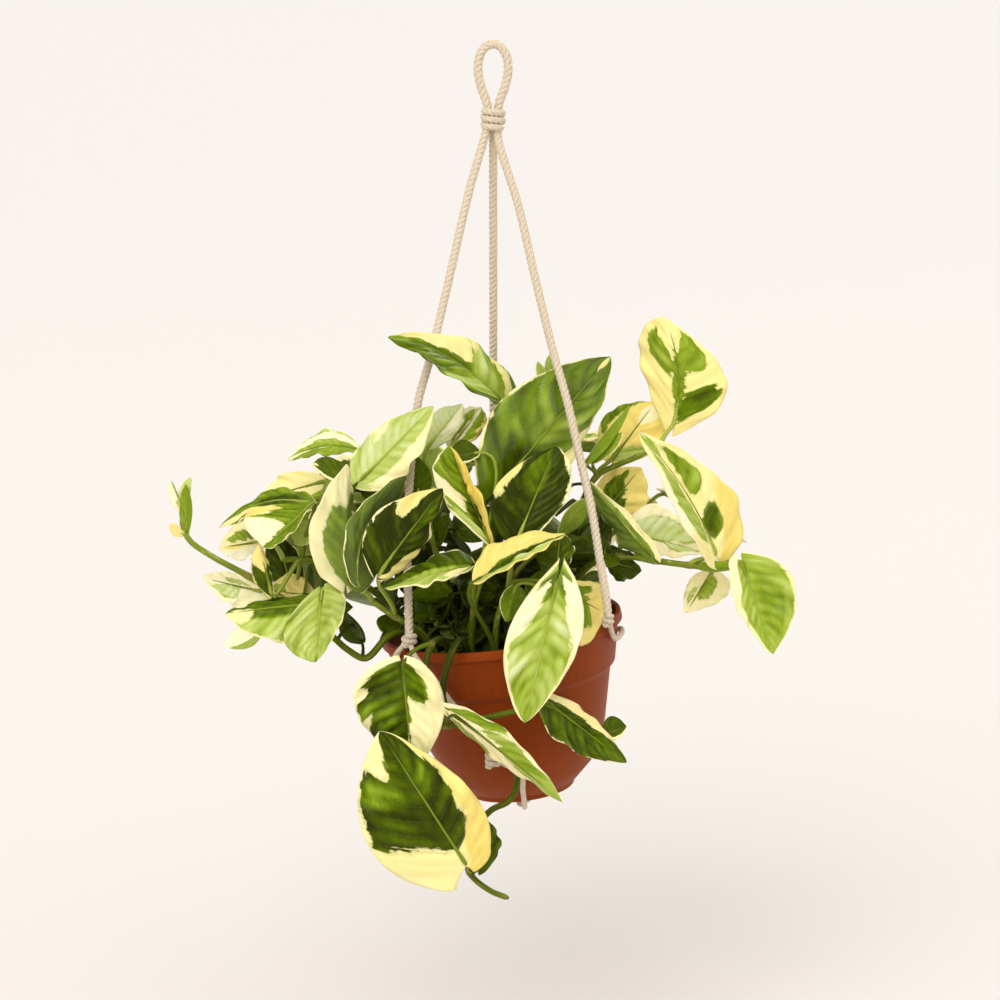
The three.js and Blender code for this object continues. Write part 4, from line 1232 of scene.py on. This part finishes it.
leftMiddle = {
    "radius": 2.3,
    "stem": [
        (-31, -14, -318), (-35, -14, -307), (-50, -16, -287), (-69, -20, -270), (-85, -24, -261),
        (-98, -27, -257), (-108, -28, -257),
    ],
    "leaves": {
        "halfCream": leafAt(
            5, (-92, -44, -225), (-115, -54, -245), (-19, 10, 7), (3, -2, -3), paint=0.42, belly=1.3,
            edges=(0, 0.04), marks=[(0.86, -0.62, 0.32, 0.6, -0.16), (0.5, -1, 0.2, 0.3, -0.6)],
        ),
        "brightShort": leafAt(
            5, (-90, -30, -237), (-101, -32, -248), (-7, 3, 3), (2, -3, -5), paint=0.72, small=True,
            edges=(0, 0.05), marks=[(0.1, 0.4, 0.2, 0.5, 0.2)],
        ),
        "outerPale": leafAt(
            6, (-119, -14, -250), (-142, -8, -255), (-3, 8, 10), (-2, -6, -7), paint=-0.25, edges=(0.05, 0),
            ruffle=1.4,
            marks=[(0.42, -0.4, 0.32, 0.22, 0.56), (0.7, 0.1, 0.2, 0.2, -0.6), (0.4, 0.7, 0.6, 0.4, -0.02)],
        ),
        "narrowYellow": leafAt(
            5, (-112, -46, -271), (-118, -46, -245), (-8, 4, 1), (1, 4, 3), paint=-0.5, edges=(0.1, 0.12),
            marks=[(0.12, -0.1, 0.3, 1, 0.16)],
        ),
        "darkInner": leafAt(
            5, (-104, -12, -278), (-112, -8, -248), (-12, 4, 1), (8, 2, 4), paint=0.1, edges=(0.03, 0.03),
        ),
        "tanFold": leafAt(
            4, (-93, -26, -276), (-115, -24, -274), (-2, 7, 9), (-2, -4, -3), paint=-0.5,
            edges=(0.08, 0.04), marks=[(0.85, -0.4, 0.2, 0.4, 0.7)],
        ),
    },
}
growVine("vine_left_middle", leftMiddle)

frontLeft = {
    "radius": 2.4,
    "stem": [
        (-27, -32, -318), (-29, -33, -307), (-37, -36, -293), (-50, -40, -284), (-62, -46, -274),
    ],
    "leaves": {
        "tallCream": leafAt(
            4, (-74, -54, -263), (-73, -52, -203), (-18, -7, 1), (3, 15, -4), paint=-0.2, edges=(0.05, 0),
            ruffle=1.1, marks=[(0.3, 0.12, 0.37, 0.74, 0.46), (0.42, 0.6, 0.3, 0.5, 0.42)],
        ),
        "tallDark": leafAt(
            4, (-68, -60, -263), (-43, -54, -208), (-7, -8, 5), (12, 14, -7), paint=0.24, bow=(-8, 0, 3),
            lobes=(0.02, 0.06), edges=(0.02, 0.03), marks=[(0.6, -0.6, 0.3, 0.4, 0.36)],
        ),
        "tallFront": leafAt(
            3, (-56, -64, -255), (-25, -64, -213), (-16, 0, 11), (7, 10, -8), paint=0.02,
            edges=(0.03, 0.05), ruffle=1.4,
            marks=[
                (0.78, -0.76, 0.17, 0.34, -0.5), (0.2, 0.8, 0.2, 0.34, -0.45),
                (0.72, 0.35, 0.24, 0.3, 0.18),
            ],
        ),
    },
}
growVine("vine_front_left", frontLeft)

crownLeft = {
    "radius": 2.3,
    "stem": [
        (-13, -18, -316), (-16, -18, -302), (-24, -19, -275), (-31, -20, -248), (-35, -20, -227),
    ],
    "leaves": {
        "paleLong": leafAt(
            4, (-67, -36, -214), (-30, -38, -176), (9, -9, -10), (-11, 13, 6), paint=0.78,
            edges=(0.08, 0.04), ruffle=0.8, sheen=0.6,
            marks=[
                (0.55, -0.88, 0.45, 0.42, -0.25), (0.55, 0.92, 0.1, 0.3, -0.25),
                (0.5, 0.35, 0.5, 0.3, 0.86),
            ],
        ),
        "smallDark": leafAt(
            4, (-38, -27, -223), (-39, -22, -204), (-6, 2, 0), (7, 3, 0), paint=0.28, small=True,
        ),
        "whiteStreak": leafAt(
            4, (-21, -14, -200), (-6, -4, -182), (-5, 10, 6), (10, -2, 0), paint=-0.1,
            marks=[(0.5, -0.3, 0.4, 0.2, 0.6), (0.5, 0.6, 0.45, 0.3, 0.5), (0.4, 0.9, 0.5, 0.12, -0.8)],
        ),
        "greyPale": leafAt(
            4, (-33, -16, -200), (-16, -12, -179), (-9, 6, 4), (9, -2, 0), paint=0.95, edges=(0.08, 0),
            marks=[(0.6, 0.5, 0.4, 0.3, -0.05)],
        ),
    },
}
growVine("vine_crown_left", crownLeft)

crownFront = {
    "radius": 2.3,
    "stem": [
        (-10, -33, -316), (-11, -34, -303), (-10, -38, -281), (-6, -42, -264),
    ],
    "leaves": {
        "creamWedge": leafAt(
            3, (-2, -48, -243), (-22, -44, -195), (-16, -12, 6), (6, -9, 0), paint=0.46, belly=1,
            edges=(0.06, 0.05), ruffle=1.6,
            marks=[
                (0.45, -0.62, 0.13, 0.6, -0.18), (0.64, 0.62, 0.42, 0.62, -0.74),
                (0.2, 0.75, 0.3, 0.38, -0.7), (0.22, -0.06, 0.17, 0.34, 0.12), (0.16, -0.6, 0.1, 0.3, 0.82),
                (0.1, -0.95, 0.25, 0.22, -0.15),
            ],
        ),
        "lowDark": leafAt(
            2, (-13, -52, -255), (-54, -62, -264), (0, -11, -2), (4, 13, 8), paint=0.2, bow=(0, -3, 1),
            edges=(0.12, 0.02), marks=[(0.5, -0.5, 0.6, 0.72, 0.7), (0.12, -0.5, 0.14, 0.4, -0.3)],
        ),
        "smallBehind": leafAt(
            3, (-8, -30, -201), (-22, -32, -203), (-3, 3, 7), (-1, -3, -4), paint=0.18, small=True,
            edges=(0, 0.2),
        ),
    },
}
growVine("vine_crown_front", crownFront)

crownTop = {
    "radius": 2.2,
    "stem": [
        (-1, 6, -315), (-1, 6, -308), (0, 4, -269), (2, 0, -231), (6, -4, -199),
    ],
    "leaves": {
        "highest": leafAt(
            4, (4, -12, -176), (-52, -44, -140), (11, 16, 6), (-3, -14, -5), paint=0.32, bow=(0, -2, 7),
            lobes=(0.2, 0.05), ruffle=1.4,
            marks=[(0.55, -0.7, 0.5, 0.5, -0.38), (0.1, 0, 0.16, 1.1, 0.66), (0.9, 0, 0.1, 0.9, 0.5)],
        ),
        "leftBud": leafAt(
            4, (27, 4, -173), (23, 8, -160), (-3, 2, 1), (2, -4, 3), paint=0.7, small=True, edges=(0.2, 0),
        ),
        "rightBud": leafAt(
            4, (32, 4, -173), (29, 6, -156), (-4, 3, 1), (2, -3, 2), paint=0.72, small=True,
            edges=(0, 0.25),
        ),
    },
}
growVine("vine_crown_top", crownTop)

crownRight = {
    "radius": 2.4,
    "stem": [
        (11, -10, -313), (11, -10, -304), (10, -12, -271), (7, -16, -247),
    ],
    "leaves": {
        "largest": leafAt(
            3, (1, -28, -222), (60, -2, -156), (-23, -5, 17), (14, 13, -15), paint=0.38, belly=0.8,
            edges=(0.02, 0.06), ruffle=1.7, sheen=1.5,
            marks=[
                (0.52, 0.98, 0.14, 0.22, -0.3), (0.97, 0.1, 0.05, 0.7, -0.5), (0.45, 0.3, 0.4, 0.5, 0.5),
                (0.8, -0.4, 0.2, 0.5, 0.3), (0.2, 0, 0.12, 0.5, 0.2),
            ],
        ),
        "smallGreen": leafAt(
            2, (35, -16, -245), (48, -12, -228), (-2, 0, 5), (7, 4, -2), paint=0.62, small=True,
            edges=(0.08, 0),
        ),
        "palePiece": leafAt(
            2, (38, -10, -254), (53, -4, -258), (2, 4, 5), (1, -4, -3), paint=-0.1, small=True,
            marks=[(0.5, 0.8, 0.5, 0.3, 0.7)],
        ),
    },
}
growVine("vine_crown_right", crownRight)

crownMiddle = {
    "radius": 2.3,
    "stem": [
        (2, -44, -314), (1, -44, -303), (2, -44, -285), (8, -42, -267),
    ],
    "leaves": {
        "darkCentre": leafAt(
            3, (13, -46, -241), (32, -34, -197), (-20, -3, 6), (18, 1, 4), paint=0.04, edges=(0, 0.08),
            ruffle=1.4,
            marks=[
                (0.6, -0.98, 0.22, 0.2, -0.5), (0.7, -0.25, 0.24, 0.42, 0.32), (0.86, 1, 0.18, 0.18, -0.3),
            ],
        ),
        "khakiFold": leafAt(
            1, (-9, -64, -260), (36, -54, -238), (-6, 8, 9), (3, -12, 2), paint=-0.6, lobes=(0.02, 0.03),
            edges=(0.03, 0.08), marks=[(0.55, 0.1, 0.5, 0.34, 0.2), (0.5, 0.66, 0.45, 0.34, 0.8)],
        ),
        "darkBehind": leafAt(
            3, (32, -50, -259), (34, -42, -240), (-11, 1, 1), (8, 5, 2), paint=0.16, edges=(0, 0.04),
        ),
    },
}
growVine("vine_crown_middle", crownMiddle)

frontRight = {
    "radius": 2.4,
    "stem": [
        (22, -37, -312), (22, -38, -305), (24, -42, -285), (28, -48, -269),
    ],
    "leaves": {
        "ruffledFront": leafAt(
            3, (32, -62, -260), (16, -78, -329), (-18, 1, 4), (20, 3, 6), paint=0.68, bow=(0, -5, 1),
            belly=0.95, lobes=(0.16, 0.16), edges=(0.16, 0.14), ruffle=1.8, sheen=0.5,
            marks=[
                (0.1, -0.5, 0.13, 0.5, 0.3), (0.09, 0.6, 0.14, 0.42, 0.38), (0.3, -0.8, 0.16, 0.46, -0.14),
                (0.33, 0.86, 0.24, 0.36, -0.14), (0.93, -0.1, 0.08, 0.7, 0.6),
            ],
        ),
        "smallRound": leafAt(
            3, (11, -52, -266), (7, -56, -283), (-6, 2, 0), (7, 6, -2), paint=0.4, small=True,
            edges=(0.1, 0),
        ),
        "yellowLow": leafAt(
            2, (38, -40, -271), (58, -30, -285), (10, 10, 6), (-3, -20, -19), paint=-0.55, ruffle=1.2,
            marks=[(0.28, 0.22, 0.3, 0.42, 0.5), (0.1, -0.3, 0.2, 0.4, 0.4)],
        ),
    },
}
growVine("vine_front_right", frontRight)

rightUpper = {
    "radius": 2.3,
    "stem": [
        (33, 8, -311), (33, 8, -308), (38, 8, -270), (45, 10, -239), (54, 12, -221), (66, 14, -215),
        (78, 16, -210), (89, 19, -204),
    ],
    "leaves": {
        "backLit": leafAt(
            7, (94, 20, -196), (89, 26, -139), (-20, 13, 8), (26, 5, -8), paint=-0.42, bow=(5, -4, 1),
            belly=1, ruffle=0.8,
            marks=[
                (0.7, 0.4, 0.15, 0.36, 0.5), (0.62, -0.44, 0.15, 0.33, 0.54), (0.76, -0.6, 0.09, 0.09, 0.4),
                (0.4, 0, 0.36, 0.14, 0.5), (0.27, 0.46, 0.16, 0.38, 0.36), (0.36, 0.6, 0.06, 0.24, 0.22),
            ],
        ),
        "yellowRound": leafAt(
            4, (63, 26, -214), (86, 34, -185), (-13, 5, 10), (17, 1, -4), paint=-0.6, ruffle=0.8,
            marks=[(0.5, -0.88, 0.3, 0.14, 0.4), (0.85, 0.3, 0.2, 0.6, -0.1), (0.1, 0.3, 0.15, 0.5, 0.75)],
        ),
        "newNarrow": leafAt(
            4, (48, 2, -212), (71, 8, -183), (0, 2, 2), (4, -2, -1), paint=0.5, small=True, edges=(0.1, 0),
        ),
        "newShort": leafAt(
            4, (52, 6, -212), (67, 4, -196), (-2, 3, 2), (5, -3, 0), paint=0.6, small=True,
            edges=(0.3, 0.1),
        ),
        "khaki": leafAt(
            3, (57, 22, -244), (78, 26, -219), (-8, 2, 10), (14, 0, -6), paint=-0.55, ruffle=0.8,
            marks=[(0.35, -0.25, 0.3, 0.42, 0.3), (0.2, 0.1, 0.2, 0.3, 0.2), (0.7, -0.5, 0.14, 0.16, 0.4)],
        ),
    },
}
growVine("vine_right_upper", rightUpper)

rightRunner = {
    "radius": 2.5,
    "stem": [
        (36, -12, -310), (36, -12, -306), (40, -12, -282), (49, -12, -264), (65, -14, -258),
        (83, -16, -260), (101, -18, -262), (118, -20, -263),
    ],
    "leaves": {
        "yellowLong": leafAt(
            6, (115, -22, -257), (74, -34, -190), (-8, -11, -4), (21, 11, 4), paint=-0.36, bow=(4, 0, 1),
            edges=(0.04, 0), ruffle=0.9,
            marks=[
                (0.68, 0.36, 0.17, 0.3, 0.5), (0.27, 0.24, 0.1, 0.22, 0.2), (0.92, -0.2, 0.08, 0.6, 0.7),
                (0.5, -0.42, 0.34, 0.24, 0.68), (0.24, 0.8, 0.3, 0.4, -0.62), (0.55, -0.95, 0.3, 0.3, -0.1),
            ],
        ),
        "greenLast": leafAt(
            7, (127, -26, -258), (143, -38, -304), (-10, -1, -2), (21, -1, 7), paint=0.62,
            edges=(0.3, 0.07), ruffle=1.4, sheen=0.5,
            marks=[(0.5, 0.4, 0.3, 0.3, 0.5), (0.2, -0.8, 0.3, 0.4, -0.2)],
        ),
        "narrowFold": leafAt(
            5, (82, -20, -257), (50, -10, -220), (-6, 10, -7), (8, -2, -1), paint=0.42, edges=(0.06, 0.5),
            marks=[(0.85, 0.2, 0.2, 0.4, 0.6)],
        ),
        "paleWide": leafAt(
            4, (70, 4, -250), (110, 8, -260), (3, 8, 17), (-1, -10, -6), paint=-0.12, edges=(0.05, 0),
            ruffle=1.6, marks=[(0.45, -0.35, 0.38, 0.34, 0.92), (0.7, 0.3, 0.2, 0.3, 0.86)],
        ),
        "hangingPale": leafAt(
            6, (114, -4, -269), (101, 2, -292), (-7, 4, 2), (14, 4, -4), paint=-0.2,
            marks=[(0.34, 0.18, 0.26, 0.28, 0.6), (0.6, -0.4, 0.2, 0.2, 0.8)],
        ),
        "sheath": leafAt(
            6, (106, -22, -262), (127, -26, -261), (0, 0, 3), (0, 2, -3), paint=0.5, small=True,
        ),
        "darkLow": leafAt(4, (61, 10, -266), (78, 14, -272), (2, 0, 5), (-1, 2, -9), paint=0.14),
    },
}
growVine("vine_right_runner", rightRunner)

frontVine = {
    "radius": 2.3,
    "stemTone": 0.06,
    "stem": [
        (-19, -40, -317), (-21, -42, -307), (-25, -53, -293), (-31, -67, -292), (-34, -73, -306),
        (-31, -74, -324), (-24, -74, -332), (-15, -73, -330), (-4, -73, -328), (13, -73, -324),
        (24, -70, -322),
    ],
    "leaves": {
        "overPot": leafAt(
            3, (-45, -77, -299), (-40, -80, -353), (-26, 3, 0), (19, 5, -1), paint=-0.22, bow=(0, -3, 1),
            lobes=(0.08, 0.08), edges=(0.03, 0), ruffle=2.2,
            marks=[
                (0.52, -0.48, 0.54, 0.54, 0.17), (0.16, 0.22, 0.2, 0.34, 0.24),
                (0.36, -1, 0.05, 0.26, -0.25), (0.62, -1, 0.05, 0.24, -0.25),
            ],
        ),
        "lowestRight": leafAt(
            10, (27, -67, -321), (68, -50, -358), (4, 4, 6), (-8, -11, -7), paint=0.18, edges=(0.04, 0.03),
            ruffle=1.3, marks=[(0.4, -0.85, 0.4, 0.4, -0.35), (0.8, 0.2, 0.2, 0.6, 0.34)],
        ),
        "lowestSmall": leafAt(
            10, (56, -52, -343), (68, -46, -340), (-1, 4, 7), (3, -2, -3), paint=0.2, small=True,
            edges=(0, 0.3),
        ),
        "acrossPot": leafAt(
            6, (-21, -84, -322), (35, -72, -372), (-3, 10, -6), (6, -1, 8), paint=-0.2, edges=(0, 0.03),
            marks=[
                (0.8, 0, 0.34, 1.2, 0.7), (0.62, 0.4, 0.14, 0.4, 0.54), (0.16, 0.66, 0.16, 0.34, 0.5),
                (0.2, -0.75, 0.14, 0.3, 0.55), (0.42, 0.5, 0.1, 0.3, 0.66),
            ],
        ),
    },
}
growVine("vine_front_vine", frontVine)

hangingVine = {
    "radius": 2.4,
    "stemTone": 0.04,
    "stem": [
        (-11, -43, -316), (-12, -45, -305), (-16, -56, -292), (-20, -68, -294), (-24, -70, -306),
        (-25, -68, -320), (-19, -68, -331), (-7, -69, -339), (5, -68, -346), (11, -66, -354),
        (12, -64, -365), (8, -64, -374), (-1, -64, -379), (-9, -66, -388), (-13, -68, -399),
        (-12, -70, -410), (-2, -71, -419), (8, -72, -423),
    ],
    "leaves": {
        "largeTurned": leafAt(
            15, (-13, -84, -402), (-56, -90, -330), (-33, -3, -12), (22, 3, 7), paint=0.12, bow=(0, -3, 1),
            lobes=(0.12, 0.05), spread=(0.38, 0), edges=(0.06, 0.14), ruffle=2,
            marks=[
                (0.96, -0.9, 0.18, 0.62, -0.3), (0.04, -0.8, 0.25, 0.62, -0.28), (-0.03, 0, 0.15, 1, -0.35),
                (0.62, -0.55, 0.1, 0.3, 0.36), (0.15, 0.8, 0.25, 0.55, -0.62),
                (0.45, 0.95, 0.3, 0.34, -0.6), (0.75, 1, 0.22, 0.24, -0.5), (0.7, 0.3, 0.16, 0.3, 0.3),
            ],
        ),
        "darkSmall": leafAt(15, (-8, -76, -407), (-4, -72, -381), (-8, -2, 5), (10, 4, 1), paint=0.2),
    },
}
growVine("vine_hanging_vine", hangingVine)

backLeft = {
    "radius": 2.2,
    "stem": [
        (-19, 17, -317), (-22, 20, -300), (-38, 30, -262), (-62, 44, -244), (-88, 54, -246),
    ],
    "leaves": {
        "outer": leafAt(
            3, (-72, 44, -226), (-112, 66, -262), (-4, 12, 16), (6, -18, 6), paint=0.3, edges=(0.12, 0.2),
            ruffle=1.2, marks=[(0.5, 0.8, 0.2, 0.5, -0.3), (0.3, -0.3, 0.3, 0.3, 0.5)],
        ),
        "rear": leafAt(
            3, (-52, 62, -232), (-74, 108, -270), (-19, -4, 5), (18, 8, 6), paint=-0.25, edges=(0.05, 0.05),
            ruffle=1.2, marks=[(0.5, 0.3, 0.35, 0.4, 0.4), (0.3, -0.4, 0.2, 0.4, 0.46)],
        ),
        "high": leafAt(
            2, (-30, 54, -232), (-50, 52, -196), (-10, -16, -4), (9, 16, 2), paint=0.5, edges=(0.1, 0.08),
            marks=[(0.6, -0.7, 0.3, 0.35, -0.25)],
        ),
        "low": leafAt(
            4, (-94, 62, -258), (-104, 92, -318), (-20, -2, 4), (20, 8, 2), paint=0.24, edges=(0.06, 0.14),
            ruffle=1.3, marks=[(0.7, 0.8, 0.2, 0.4, -0.3)],
        ),
    },
}
growVine("vine_back_left", backLeft)

backMiddle = {
    "radius": 2.2,
    "stem": [
        (0, 32, -315), (0, 36, -298), (4, 50, -262), (10, 68, -236), (14, 84, -230),
    ],
    "leaves": {
        "left": leafAt(
            3, (-14, 74, -226), (-36, 112, -256), (-17, -8, 5), (14, 12, 9), paint=0.26, edges=(0.2, 0.05),
            ruffle=1.2, marks=[(0.4, -0.8, 0.25, 0.4, -0.2)],
        ),
        "rear": leafAt(
            4, (22, 92, -222), (18, 128, -280), (-20, 4, 2), (20, 4, 3), paint=0.34, edges=(0.08, 0.08),
            ruffle=1.4, marks=[(0.65, 0.6, 0.2, 0.5, -0.35), (0.25, -0.7, 0.2, 0.4, -0.25)],
        ),
        "right": leafAt(
            3, (34, 70, -214), (76, 92, -226), (-5, 16, 10), (4, -16, 8), paint=-0.3, edges=(0.05, 0.05),
            marks=[(0.45, 0.2, 0.35, 0.42, 0.42), (0.5, -0.6, 0.2, 0.25, 0.5)],
        ),
    },
}
growVine("vine_back_middle", backMiddle)

backRight = {
    "radius": 2.2,
    "stem": [
        (33, 25, -311), (36, 28, -296), (54, 40, -266), (78, 54, -254), (98, 62, -262),
    ],
    "leaves": {
        "rear": leafAt(
            2, (62, 62, -240), (86, 104, -272), (-17, 8, 6), (17, -8, 6), paint=0.22, edges=(0.1, 0.06),
            ruffle=1.2, marks=[(0.5, 0.85, 0.22, 0.4, -0.4)],
        ),
        "outer": leafAt(
            3, (92, 54, -238), (138, 66, -268), (6, 20, 3), (2, -18, 8), paint=0.4, edges=(0.15, 0.1),
            ruffle=1.1, marks=[(0.3, 0.2, 0.3, 0.3, 0.3), (0.8, -0.5, 0.15, 0.4, -0.3)],
        ),
        "low": leafAt(
            2, (58, 78, -262), (42, 116, -308), (-17, -4, 6), (18, 8, 5), paint=-0.2, edges=(0.04, 0.05),
            ruffle=1.4, marks=[(0.4, -0.3, 0.4, 0.42, 0.36), (0.4, 0.4, 0.25, 0.3, 0.44)],
        ),
    },
}
growVine("vine_back_right", backRight)

backTrail = {
    "radius": 2.3,
    "stem": [
        (12, 36, -313), (13, 40, -300), (12, 60, -282), (12, 75, -294), (16, 78, -326), (14, 74, -356),
        (6, 72, -384),
    ],
    "leaves": {
        "left": leafAt(
            3, (-12, 78, -292), (-44, 96, -338), (-16, -10, 8), (16, 10, -6), paint=0.3, edges=(0.1, 0.15),
            ruffle=1.2, marks=[(0.6, -0.8, 0.25, 0.35, -0.3)],
        ),
        "right": leafAt(
            4, (36, 84, -300), (62, 104, -346), (-18, 6, -8), (18, -4, 9), paint=0.24, edges=(0.14, 0.06),
            ruffle=1.2, marks=[(0.35, 0.7, 0.2, 0.4, -0.4)],
        ),
        "low": leafAt(
            5, (2, 84, -350), (-18, 92, -408), (-18, -2, 6), (18, 6, -6), paint=0.42, edges=(0.08, 0.16),
            ruffle=1.5, marks=[(0.7, 0.6, 0.2, 0.5, -0.25), (0.3, -0.3, 0.25, 0.3, 0.3)],
        ),
    },
}
growVine("vine_back_trail", backTrail)


# Studio: a wide pale floor under the hanging plant, a white world and soft lamps
studio = {
    "floorHeight": -0.53,
    "floorSize": 200,
    "floorPaint": [(0, "#e8e3e0"), (1, "#e4e1e0")],  # near and far
    "worldColour": "#fffbf6",
    "worldStrength": (0.95, 0.24),  # at the horizon and overhead
    "horizonHeights": (0.1, 0.22),  # where the world's light starts and ends to fall
    "suns": [
        {"from": (-0.1, -0.5, 1.0), "strength": 1.45, "spread": 90, "colour": "#ffffff"},
        {"from": (-0.45, -1.0, 0.95), "strength": 1.5, "spread": 45, "colour": "#fffdf6"},
        {"from": (0.65, 0.9, 0.7), "strength": 1.2, "spread": 30, "colour": "#fffaf0"},
        {"from": (1.0, -0.35, 0.35), "strength": 0.4, "spread": 60, "colour": "#ffffff"},
    ],
}


def makeStudio():
    clearSelection()
    bpy.ops.mesh.primitive_plane_add(size=studio["floorSize"], location=(0, 0, studio["floorHeight"]))
    floor = bpy.context.object
    floor.name = "studioFloor"
    paint = Finish("floorPaint", {"Roughness": 0.9, "Specular IOR Level": 0.1})
    away = paint.split(paint.place())[1]
    cloudy = paint.noise(paint.place(), 0.8, 2)
    far = (away - 1.5) * 0.3 + (cloudy - 0.5) * 0.2
    paint.feed(Base_Color=paint.ramp(far.held(), studio["floorPaint"]))
    floor.data.materials.append(paint.material)
    world = bpy.data.worlds.new("studioWorld")
    world.use_nodes = True
    sky = world.node_tree.nodes["Background"]
    sky.inputs["Color"].default_value = shade(studio["worldColour"])
    way = world.node_tree.nodes.new("ShaderNodeTexCoord")
    parts = world.node_tree.nodes.new("ShaderNodeSeparateXYZ")
    fall = world.node_tree.nodes.new("ShaderNodeMapRange")
    ends = (*studio["horizonHeights"], *studio["worldStrength"])
    for socket, value in zip(("From Min", "From Max", "To Min", "To Max"), ends):
        fall.inputs[socket].default_value = value
    world.node_tree.links.new(way.outputs["Generated"], parts.inputs[0])
    world.node_tree.links.new(parts.outputs["Z"], fall.inputs["Value"])
    world.node_tree.links.new(fall.outputs[0], sky.inputs["Strength"])
    bpy.context.scene.world = world
    for lamp in studio["suns"]:
        bpy.ops.object.light_add(type="SUN", location=lamp["from"])
        sun = bpy.context.object
        sun.rotation_euler = Vector(lamp["from"]).to_track_quat("Z", "Y").to_euler()
        sun.data.energy = lamp["strength"]
        sun.data.angle = math.radians(lamp["spread"])
        sun.data.color = shade(lamp["colour"])[:3]
    bpy.context.scene.view_settings.view_transform = "Standard"
    bpy.context.scene.view_settings.look = "None"


makeStudio()
print("studio made")
